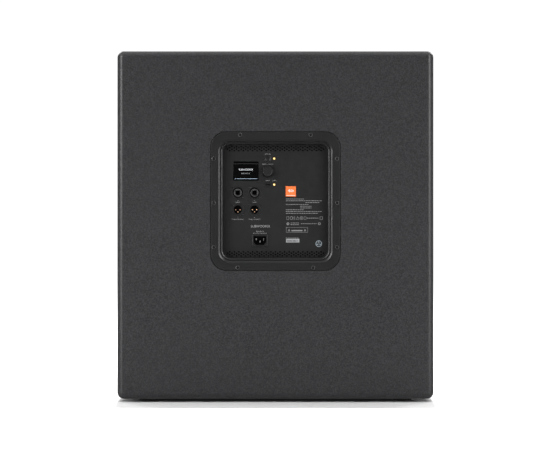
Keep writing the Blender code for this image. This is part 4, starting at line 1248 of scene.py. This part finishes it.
def handle_screws(side, face, middle_z):
    """Eight screws sunk in the handle's flange, and the pockets that they sit in."""
    pocket_points = [(0, -0.0019), (0.0037, -0.0019), (0.0037, 0), (0.0043, 0.0005), (0, 0.0005)]
    screws = []
    pockets = []
    for y, z in ((0.110, 0.045), (0.050, 0.0575)):
        for sign_y in (1, -1):
            for sign_z in (1, -1):
                place = Vector((side * face, sign_y * y, middle_z + sign_z * z))
                screw, pocket = pan_screw(0.0033, 0.0016), lathe("pocket", pocket_points, 28)
                for mesh in (screw, pocket):
                    mesh.transform(Matrix.Rotation(side * math.pi / 2, 4, "Y"))
                screws.append(placed(screw, place - Vector((side * 0.0018, 0, 0))))
                pockets.append(placed(pocket, place))
    return merged("handle_screws", screws), merged("pockets", pockets)


def grip_points():
    """A bar along the handle with rounded ribs round its middle stretch."""
    radius, half, pitch, ribs = 0.0130, 0.0985, 0.0048, 26
    end, shoulder, groove = radius + 0.0020, radius + 0.0002, radius - 0.0008
    middle = []
    for i in range(ribs):
        start = (i - ribs / 2) * pitch
        for size, along in ((radius, 0.0006), (radius, 0.0032), (groove, 0.0038), (groove, 0.0046)):
            middle.append((size, start + along, 0.0003))
    tail = [(shoulder, half - 0.0120, 0.0003), (end, half), (0, half)]
    return [(0, -half), (end, -half), (shoulder, -half + 0.0120, 0.0003), *middle, *tail]


def handle(hand):
    """A recessed cup moulded with its flange, a ribbed grip across it, and eight screws."""
    low, high = HANDLE_BOXES[hand]
    side = 1 if hand == "right" else -1
    face = max(abs(low.x), abs(high.x))
    middle_z = (low.z + high.z) / 2
    long, tall = high.y - low.y, high.z - low.z
    rings = []
    # Width, height, corner radius and depth: up the cup from its floor, over the flange and down the back.
    for *size, depth in (
        (0.1600, 0.0600, 0.0120, 0.0575),
        (0.1760, 0.0760, 0.0140, 0.0572),
        (0.1850, 0.0850, 0.0160, 0.0545),
        (0.1885, 0.0885, 0.0165, 0.0500),
        (0.1940, 0.0940, 0.0172, 0.0060),
        (0.1955, 0.0955, 0.0175, 0.0022),
        (0.1985, 0.0985, 0.0180, 0.0006),
        (0.2030, 0.1030, 0.0190, 0.0),
        (long - 0.0030, tall - 0.0030, 0.0165, 0.0),
        (long - 0.0010, tall - 0.0010, 0.0174, 0.0005),
        (long, tall, HANDLE_CORNER, 0.0016),
        (long, tall, HANDLE_CORNER, 0.0030),
        (0.1998, 0.0998, 0.0196, 0.0030),
        (0.1950, 0.0950, 0.0190, 0.0520),
        (0.1800, 0.0800, 0.0160, 0.0598),
    ):
        rings.append((outline(*size, 8), face - depth))
    shell = facing_sideways(loft("handle", rings, 40, ends=True), side, middle_z)
    screws, pockets = handle_screws(side, face, middle_z)
    piece(f"handle_{hand}_screws", screws, SCREW_BLACK)
    shell = carved("handle", shell, [pockets])
    piece(f"handle_{hand}_cup", shell, HANDLE_PLASTIC, stands_for=(f"handle_{hand}",), slot="black_plastic")
    bar = turned("grip", grip_points(), 48, (side * (face - 0.0175), 0, middle_z + 0.0220), "Y", 2)
    piece(f"handle_{hand}_grip", bar, RUBBER, slot="rubber")


def threaded_cup():
    """The pole socket's flanged cup, its bore pushed in and out along a helix."""
    bore, pitch, depth, first, wave_height = 0.0097, 0.0025, 0.0500, 0.0040, 0.00055
    profile = fillet([
        (0, -0.0560),
        (0.0180, -0.0560, 0.0010),
        (0.0180, -0.0031),
        (0.0380, -0.0031),
        (0.0380, 0, 0.0010),
        (0.0134, 0),
    ], 4)
    step = pitch / 8
    steps = int((depth - first) / step)
    profile.append((bore + 0.0006, -0.0036))
    profile += [(bore, -first - i * step) for i in range(steps + 1)]
    profile.append((0, -first - steps * step))
    cup = lathe("pole_socket", profile, 48, 50)
    for vertex in cup.vertices:
        x, y, z = vertex.co
        distance = math.hypot(x, y)
        if abs(distance - bore) < 0.00005 and z < -0.0060:
            turn = math.atan2(y, x) / (2 * math.pi)
            wave = wave_height * math.cos(2 * math.pi * (z / pitch - turn))
            vertex.co.x += x / distance * wave
            vertex.co.y += y / distance * wave
    return cup


def pole_socket():
    """A flanged cup whose bore has a real helical thread, held by four countersunk screws."""
    low, high = POLE_BOX
    middle = (low + high) / 2
    sink = [(0, -0.0024), (0.0022, -0.0024), (0.0048, 0.0002), (0, 0.0002)]
    head_points = [(0, -0.0023), (0.0022, -0.0023), (0.0043, -0.0003, 0.0004), (0, 0)]
    cutters = []
    screws = []
    for angle in full_turn(4, math.pi / 4):
        x, y = polar(0.0285, angle)
        cutters.append(turned("sink", sink, 28, (x, y, 0)))
        head = carved("head", turned("head", head_points, 28), [hexagon_key(0.0017, -0.0016, 0.001)])
        screws.append(placed(head, (middle.x + x, middle.y + y, high.z - 0.0002)))
    socket = placed(carved("pole_socket", threaded_cup(), cutters), (middle.x, middle.y, high.z))
    piece("pole_socket_threaded", socket, GRILLE_PAINT, stands_for=("pole_socket",), slot="black_steel")
    piece("pole_socket_screws", merged("pole_socket_screws", screws), SCREW_BLACK)


# ---------------------------------------------------------------- grille and foam
SHEET = 0.0012  # thickness of the perforated steel
GRILLE_BEND = 0.0030  # outside radius of its folded sides
GRILLE_CORNER = 0.0040  # radius of its corners, at the edge of the flat front
HEX_PITCH = 0.0105
HEX_HOLE = 0.0088  # across the flats


def hexagon(x, z, across):
    """The six corners of a hexagon with two upright sides."""
    return circle(x, z, across / math.sqrt(3), 6, math.pi / 6)


def honeycomb_cells(half_x, half_z):
    row_step = HEX_PITCH * math.sqrt(3) / 2
    rows = int((half_z - HEX_PITCH * 0.6) / row_step)
    cells = []
    for row in range(-rows, rows + 1):
        shift = HEX_PITCH / 2 if row % 2 else 0
        columns = int((half_x - HEX_PITCH / 2 - shift) / HEX_PITCH)
        first = -columns - 1 if shift else -columns
        for column in range(first, columns + 1):
            cells.append((column * HEX_PITCH + shift, row * row_step))
    return cells


def boundary_loop(edges):
    """The one closed chain through a set of (start, end) edges."""
    after = dict(edges)
    start = next(iter(after))
    loop = [start]
    while after[loop[-1]] != start:
        loop.append(after[loop[-1]])
    return loop


def folded_edge(depth):
    """The section of the folded side, as (growth of the front's outline, distance behind it) points."""
    inner = GRILLE_BEND - SHEET
    angles = [i / 4 * math.pi / 2 for i in range(5)]
    outside = [(GRILLE_BEND * math.sin(angle), GRILLE_BEND * (1 - math.cos(angle))) for angle in angles]
    inside = [(inner * math.sin(angle), SHEET + inner * (1 - math.cos(angle))) for angle in angles]
    return [*outside, (GRILLE_BEND, depth), (inner, depth), *reversed(inside)]


def grille():
    """Honeycomb sheet folded back along its four sides: one closed body with every hole cut through."""
    middle = (GRILLE_LOW + GRILLE_HIGH) / 2
    size = GRILLE_HIGH - GRILLE_LOW
    bm = bmesh.new()
    verts = {}

    def vert(x, z, y):
        key = (round(x, 5), round(z, 5), round(y, 6))
        if key not in verts:
            verts[key] = bm.verts.new((x, y, z))
        return verts[key]

    def rim(grow):
        inset = 2 * (GRILLE_BEND - grow)
        return outline(size.x - inset, size.z - inset, GRILLE_CORNER + grow, 4)

    levels = (GRILLE_LOW.y, GRILLE_LOW.y + SHEET)
    margin = 0.0085
    edges = set()
    for x, z in honeycomb_cells(size.x / 2 - margin, size.z / 2 - margin):
        outer = hexagon(x, z, HEX_PITCH)
        inner = hexagon(x, z, HEX_HOLE)
        for i in range(6):
            j = (i + 1) % 6
            for y in levels:
                bm.faces.new([vert(*point, y) for point in (outer[i], outer[j], inner[j], inner[i])])
            wall = [vert(*inner[k], level) for level, ends in zip(levels, ((i, j), (j, i))) for k in ends]
            bm.faces.new(wall)
            start, end = (tuple(round(c, 5) for c in outer[k]) for k in (i, j))
            if (end, start) in edges:
                edges.remove((end, start))
            else:
                edges.add((start, end))
    loops = [[Vector((x, z, 0)) for x, z in points] for points in (rim(0), boundary_loop(edges))]
    flat_points = [point for loop in loops for point in loop]
    for triangle in tessellate_polygon(loops):
        for y in levels:
            bm.faces.new([vert(flat_points[i].x, flat_points[i].y, y) for i in triangle])
    rings = []
    for grow, back in folded_edge(size.y):
        rings.append([vert(x, z, GRILLE_LOW.y + back) for x, z in rim(grow)])
    for first, second in zip(rings, rings[1:]):
        for i in range(len(first)):
            j = (i + 1) % len(first)
            bm.faces.new((first[i], first[j], second[j], second[i]))
    mesh = placed(mesh_from("grille", bm, 30), (middle.x, 0, middle.z))
    piece("honeycomb_grille", mesh, GRILLE_PAINT, stands_for=("grille",), slot="black_steel")


def grille_foam():
    """Open-cell foam, its face a little uneven between the points where it is glued down."""
    low, high = corners("grille_foam")
    size = high - low
    middle = (low + high) / 2
    glue_x, glue_z, swell = 0.11, 0.13, 0.0005
    bm = bmesh.new()
    upright = Matrix.Rotation(math.pi / 2, 4, "X") @ Matrix.Diagonal((size.x, size.z, 1, 1))
    for y in (low.y, high.y):
        sheet = Matrix.Translation((0, y, 0)) @ upright
        bmesh.ops.create_grid(bm, x_segments=56, y_segments=62, size=0.5, matrix=sheet)
    bmesh.ops.bridge_loops(bm, edges=[edge for edge in bm.edges if edge.is_boundary])
    for vertex in bm.verts:
        x, y, z = vertex.co
        if y < middle.y:
            wave = math.cos(x * 2 * math.pi / glue_x) * math.cos(z * 2 * math.pi / glue_z)
            vertex.co.y += swell * (1 - wave) / 2
        vertex.co += Vector((middle.x, 0, middle.z))
    mesh = mesh_from("acoustic_foam", bm)
    foam = piece("acoustic_foam", mesh, FOAM, stands_for=("grille_foam",), slot="foam")


# ---------------------------------------------------------------- driver
def driver_piece(name, points, look, steps=96, **where):
    """A turned piece from (radius, distance behind the baffle's face) points."""
    mesh = turned(name, points, steps, (0, DRIVER_Y, DRIVER.z), "Y", 3, True)
    return piece(name, mesh, look, **where)


def radial_blend(obj, inner, outer):
    """The piece follows the cone at its inner radius and the basket at its outer one, smoothly between."""
    start, end = ((radius, DRIVER_Y, DRIVER.z) for radius in (outer, inner))
    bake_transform(obj, "cabinet", "cone_assembly", start=start, end=end)
    weights = obj.data.attributes["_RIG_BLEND"].data
    for vertex, weight in zip(obj.data.vertices, weights):
        distance = math.hypot(vertex.co.x, vertex.co.z - DRIVER.z)
        share = min(max((outer - distance) / (outer - inner), 0), 1)
        weight.value = share * share * (3 - 2 * share)


def cone():
    """Ribbed paper cone with its glue ring and neck."""
    rim, neck, steps = 0.175, 0.0512, 60
    front_depth, back_depth = -0.0040, 0.0770
    rib_height, rib_pitch, paper = 0.00045, 0.0155, 0.0017
    front, back = [], []
    for i in range(steps + 1):
        share = i / steps
        radius = rim + (neck - rim) * share
        depth = front_depth + (back_depth - front_depth) * (1.12 * share - 0.12 * share * share)
        rib = rib_height * max(0, math.cos(2 * math.pi * (radius - neck) / rib_pitch)) ** 6
        front.append((radius, depth - rib))
        back.append((radius + 0.0006, depth + paper - rib))
    edge = [(0.1828, -0.0046), (0.1828, -0.0063), (0.1775, -0.0063)]
    collar = [(neck, 0.0838), (neck + 0.0022, 0.0838), (neck + 0.0022, 0.0790)]
    points = [*collar, *back[-2::-1], *edge, *front]
    where = {"body": "cone_assembly", "stands_for": ("cone",), "slot": "paper_cone"}
    driver_piece("ribbed_cone", points, PAPER, 128, **where)


def dust_cap():
    low, high = corners("dust_cap")
    radius = (high.x - low.x) / 2
    paper = 0.0012
    rim = high.y - DRIVER_Y - paper
    rise = rim - (low.y - DRIVER_Y)
    steps = 16
    front = [(radius * i / steps, rim - rise * (1 - (i / steps) ** 2)) for i in range(steps + 1)]
    back = [(distance, depth + paper) for distance, depth in front]
    where = {"body": "cone_assembly", "stands_for": ("dust_cap",), "slot": "paper_cone"}
    driver_piece("domed_dust_cap", back + front[::-1], PAPER, **where)


def surround():
    """A half roll of rubber with a bead at each foot, glued to the cone and to the basket."""
    middle, roll, thickness, seat = 0.1940, 0.0100, 0.0012, -0.0066
    inner, outer = 0.1765, 0.2125
    steps = 20
    points = []
    for size, base in ((roll - thickness, seat), (roll, seat - thickness)):
        arc = [polar(size, math.pi * (1 - i / steps)) for i in range(steps + 1)]
        points.append([(inner, base), *((middle + x, base - y) for x, y in arc), (outer, base)])
    back, front = points
    where = {"body": None, "stands_for": ("surround",), "slot": "rubber"}
    radial_blend(driver_piece("rolled_surround", back + front[::-1], RUBBER, 128, **where), 0.1835, 0.2045)


def spider():
    """Corrugated cloth disc between the coil's former and the basket."""
    inner, flat_radius, outer, thickness = 0.0515, 0.1065, 0.1148, 0.0009
    wave_height, wave_pitch, steps = 0.0019, 0.0083, 96
    front = []
    for i in range(steps + 1):
        radius = inner + (flat_radius - inner) * i / steps
        fade = min(1, 6 * i / steps, 6 * (1 - i / steps))
        wave = wave_height * fade * math.cos(2 * math.pi * (radius - inner) / wave_pitch)
        front.append((radius, 0.0955 + wave))
    front.append((outer, 0.0965))
    back = [(radius, depth + thickness) for radius, depth in front]
    where = {"body": None, "stands_for": ("spider",), "slot": "treated_cloth"}
    radial_blend(driver_piece("corrugated_spider", back + front[::-1], CLOTH, **where), 0.0560, 0.1050)


def coil():
    """Former with the copper winding wrapped round its rear end."""
    former = [(0.0499, 0.1460), (0.0504, 0.1460), (0.0504, 0.0722), (0.0499, 0.0722)]
    where = {"body": "cone_assembly", "stands_for": ("voice_coil",), "slot": "treated_cloth"}
    driver_piece("coil_former", former, CLOTH, **where)
    inside, wire, start, turns = 0.0505, 0.0007, 0.1250, 28
    points = [(inside, start + turns * wire)]
    for i in reversed(range(turns)):
        for share in (0.85, 0.5, 0.15):
            bulge = wire * (1 + 0.6 * math.sin(math.pi * share))
            points.append((inside + bulge, start + (i + share) * wire))
    points.append((inside, start))
    driver_piece("coil_winding", points, COPPER, body="cone_assembly")


def motor_ring(node, inner, look, slot):
    low, high = corners(node)
    outer = (high.x - low.x) / 2
    near, far = low.y - DRIVER_Y, high.y - DRIVER_Y
    points = [(inner, far, 0.0004), (outer, far, 0.0015), (outer, near, 0.0015), (inner, near, 0.0004)]
    driver_piece(f"{node}_ring", points, look, 120, stands_for=(node,), slot=slot)


def motor():
    """Plated plates, the ferrite ring between them and a vent through the pole, all with broken edges."""
    motor_ring("top_plate", 0.0532, ZINC, "bare_steel")
    motor_ring("ferrite_magnet", 0.0620, FERRITE, "ferrite")
    yoke = [
        (0.0150, 0.1759, 0.0060),
        (0.1060, 0.1759, 0.0020),
        (0.1060, 0.1639, 0.0010),
        (0.0482, 0.1639, 0.0030),
        (0.0482, 0.1283, 0.0015),
        (0.0150, 0.1283, 0.0040),
    ]
    driver_piece("vented_pole_yoke", yoke, ZINC, 120, stands_for=("pole_yoke",), slot="bare_steel")


def basket_rim():
    """The gasket on the basket's rim and the eight screws through it."""
    gasket = [(0.2135, -0.0060), (0.2285, -0.0060), (0.2285, -0.0088, 0.0008), (0.2135, -0.0088, 0.0008)]
    driver_piece("basket_gasket", gasket, FOAM, 120)
    screws = []
    for angle in full_turn(8, math.pi / 8):
        x, z = polar(0.2215, angle)
        screw = pan_screw(0.0045, 0.0030)
        screw.transform(Matrix.Rotation(math.pi / 2, 4, "X"))
        screws.append(placed(screw, (x, DRIVER_Y - 0.0090, DRIVER.z + z)))
    piece("driver_screws", merged("driver_screws", screws), SCREW_BLACK)


# ---------------------------------------------------------------- inside
def vent_shade_pads():
    """Near-black foam pads behind each strip of vents: painted shade seen through the holes."""
    for name, side in (("upper", 1), ("lower", -1)):
        z = AMP_Z + side * VENT_STRIP_Z
        low = (-0.0985, PANEL_LOW.y - 0.0100, z - 0.0055)
        high = (0.0985, PANEL_LOW.y - 0.0070, z + 0.0055)
        shade_pad = rounded_box("vent_shade_pad", low, high, 0.0008, 2)
        piece(f"{name}_vent_shade_pad", shade_pad, VENT_FOAM_PAINTED_SHADE, slot="foam")


def dress(look, *nodes):
    """The frame's own solids whose shape is right get their finish here."""
    for node in nodes:
        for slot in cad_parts[node].material_slots:
            slot.material = look


def inner_parts():
    dress(COATING, "front_baffle", "port_shelf", "port_rib")
    dress(PLYWOOD, "cross_brace")
    dress(CAST_METAL, "driver_basket")
    dress(HANDLE_PLASTIC, "amp_tub", "display_module")
    dress(ALUMINIUM, "heat_sink")
    dress(BOARD, "amplifier_board", "power_supply_board", "control_board")
    dress(FERRITE, "switching_transformer")
    dress(NICKEL, "menu_encoder", "menu_plunger")
    dress(RUBBER, "speaker_cable")


# ---------------------------------------------------------------- stage
def linked(name, data):
    obj = bpy.data.objects.new(name, data)
    bpy.context.scene.collection.objects.link(obj)
    return obj


def stage():
    """A pale floor that runs well in front of the cabinet and ends a metre behind its control panel."""
    half = 6
    bm = bmesh.new()
    bmesh.ops.create_grid(bm, x_segments=1, y_segments=1, size=half)
    bmesh.ops.translate(bm, vec=(0, REAR_Y + 1.0 - half, 0), verts=bm.verts)
    mesh = bpy.data.meshes.new("floor")
    bm.to_mesh(mesh)
    bm.free()
    mesh.materials.append(Look("pale_floor", (0.88, 0.88, 0.88), 0.9, Specular_IOR_Level=0.1).material)
    floor = linked("floor", mesh)
    floor.visible_glossy = False
    return floor


def aimed(name, data, direction):
    """A light that shines along a direction."""
    light = linked(name, data)
    light.rotation_euler = Vector(direction).to_track_quat("-Z", "Y").to_euler()
    return light


def area_light(name, place, target, size, energy, **hidden_from):
    """hidden_from takes diffuse=False or glossy=False, so that the light works on the other rays only."""
    data = bpy.data.lights.new(name, "AREA")
    data.shape = "RECTANGLE"
    data.size, data.size_y = size
    data.energy = energy
    light = aimed(name, data, Vector(target) - Vector(place))
    light.location = place
    for kind, shown in hidden_from.items():
        setattr(light, f"visible_{kind}", shown)
    return light


def surroundings(glow, backdrop):
    """An even white world: how strongly it lights the scene, and how bright the camera sees it."""
    world = bpy.data.worlds.new("studio")
    bpy.context.scene.world = world
    world.use_nodes = True
    nodes, links = world.node_tree.nodes, world.node_tree.links
    background = nodes["Background"]
    background.inputs["Color"].default_value = (1, 1, 1, 1)
    strength = nodes.new("ShaderNodeMapRange")
    strength.inputs["To Min"].default_value = glow
    strength.inputs["To Max"].default_value = backdrop
    links.new(nodes.new("ShaderNodeLightPath").outputs["Is Camera Ray"], strength.inputs["Value"])
    links.new(strength.outputs["Result"], background.inputs["Strength"])


def lighting(floor):
    """White studio: soft strips either side, a broad ceiling, and a high key that whitens the floor."""
    floor_only = bpy.data.collections.new("floor_only")
    all_but_floor = bpy.data.collections.new("all_but_floor")
    for group in (floor_only, all_but_floor):
        group.objects.link(floor)
    all_but_floor.collection_objects[0].light_linking.link_state = "EXCLUDE"
    surroundings(0.16, 1.05)
    rear = (0, REAR_Y, 0.34)
    for name, side, strip, key in (("left", 1, 72, 50), ("right", -1, 63, 45)):
        place = (side * 2.3, REAR_Y + 2.1, 1.30)
        area_light(f"{name}_strip", place, rear, (0.9, 2.4), strip, diffuse=False)
        place = (side * 1.7, REAR_Y + 3.2, 0.45)
        low_key = area_light(f"{name}_key", place, rear, (0.7, 0.7), key, glossy=False)
        low_key.light_linking.receiver_collection = all_but_floor
        place = (side * 3.5, -0.2, 0.9)
        area_light(f"{name}_side_fill", place, (0, -0.2, 0.33), (1.0, 1.0), 40, glossy=False)
        area_light(f"front_{name}_strip", (side * 2.3, -2.5, 2.9), (0, -0.3, 0.3), (1.4, 1.6), 60)
    area_light("ceiling", (0, 0, 3.2), (0, 0.001, 0), (5.0, 5.0), 75)
    wash = area_light("floor_wash", (0, 3.0, 3.2), (0, 0.6, 0), (2.0, 1.0), 66, glossy=False)
    wash.light_linking.receiver_collection = floor_only
    sun = bpy.data.lights.new("key", "SUN")
    sun.energy = 3.4
    sun.angle = math.radians(1.5)
    key = linked("key", sun)
    towards_sun = Vector((0, -0.172, 1))  # nearly overhead, a little to the grille's side
    key.rotation_euler = towards_sun.to_track_quat("Z", "Y").to_euler()
    key.visible_glossy = False


def camera():
    """Straight on to the control panel, level with the middle of the cabinet."""
    distance = 3.5
    frame_width = 1.0447  # seen at the rear face
    aside, height = 0.0008, 0.3370
    data = bpy.data.cameras.new("camera")
    data.sensor_width = 36
    data.lens = data.sensor_width * distance / frame_width
    data.clip_end = 100
    obj = linked("camera", data)
    obj.location = (aside, REAR_Y + distance, height)
    obj.rotation_euler = (math.pi / 2, 0, math.pi)
    bpy.context.scene.camera = obj
    bpy.context.scene.view_settings.view_transform = "Standard"


camera()
lighting(stage())
cabinet()
for foot_node in FEET:
    foot(foot_node)
for handle_side in HANDLE_BOXES:
    handle(handle_side)
pole_socket()
grille()
grille_foam()
cone()
dust_cap()
surround()
spider()
coil()
motor()
basket_rim()
vent_shade_pads()
inner_parts()
bezel()
bezel_screws()
control_panel()
panel_lettering()
information_block()
level_label()
barred_sticker()
round_sticker()
display()
knob()
button()
for led in LEDS:
    indicator(led)
service_port()
for combo, thru in zip(COMBO_SOCKETS, THRU_SOCKETS):
    combo_socket(combo)
    thru_socket(thru)
inlet()
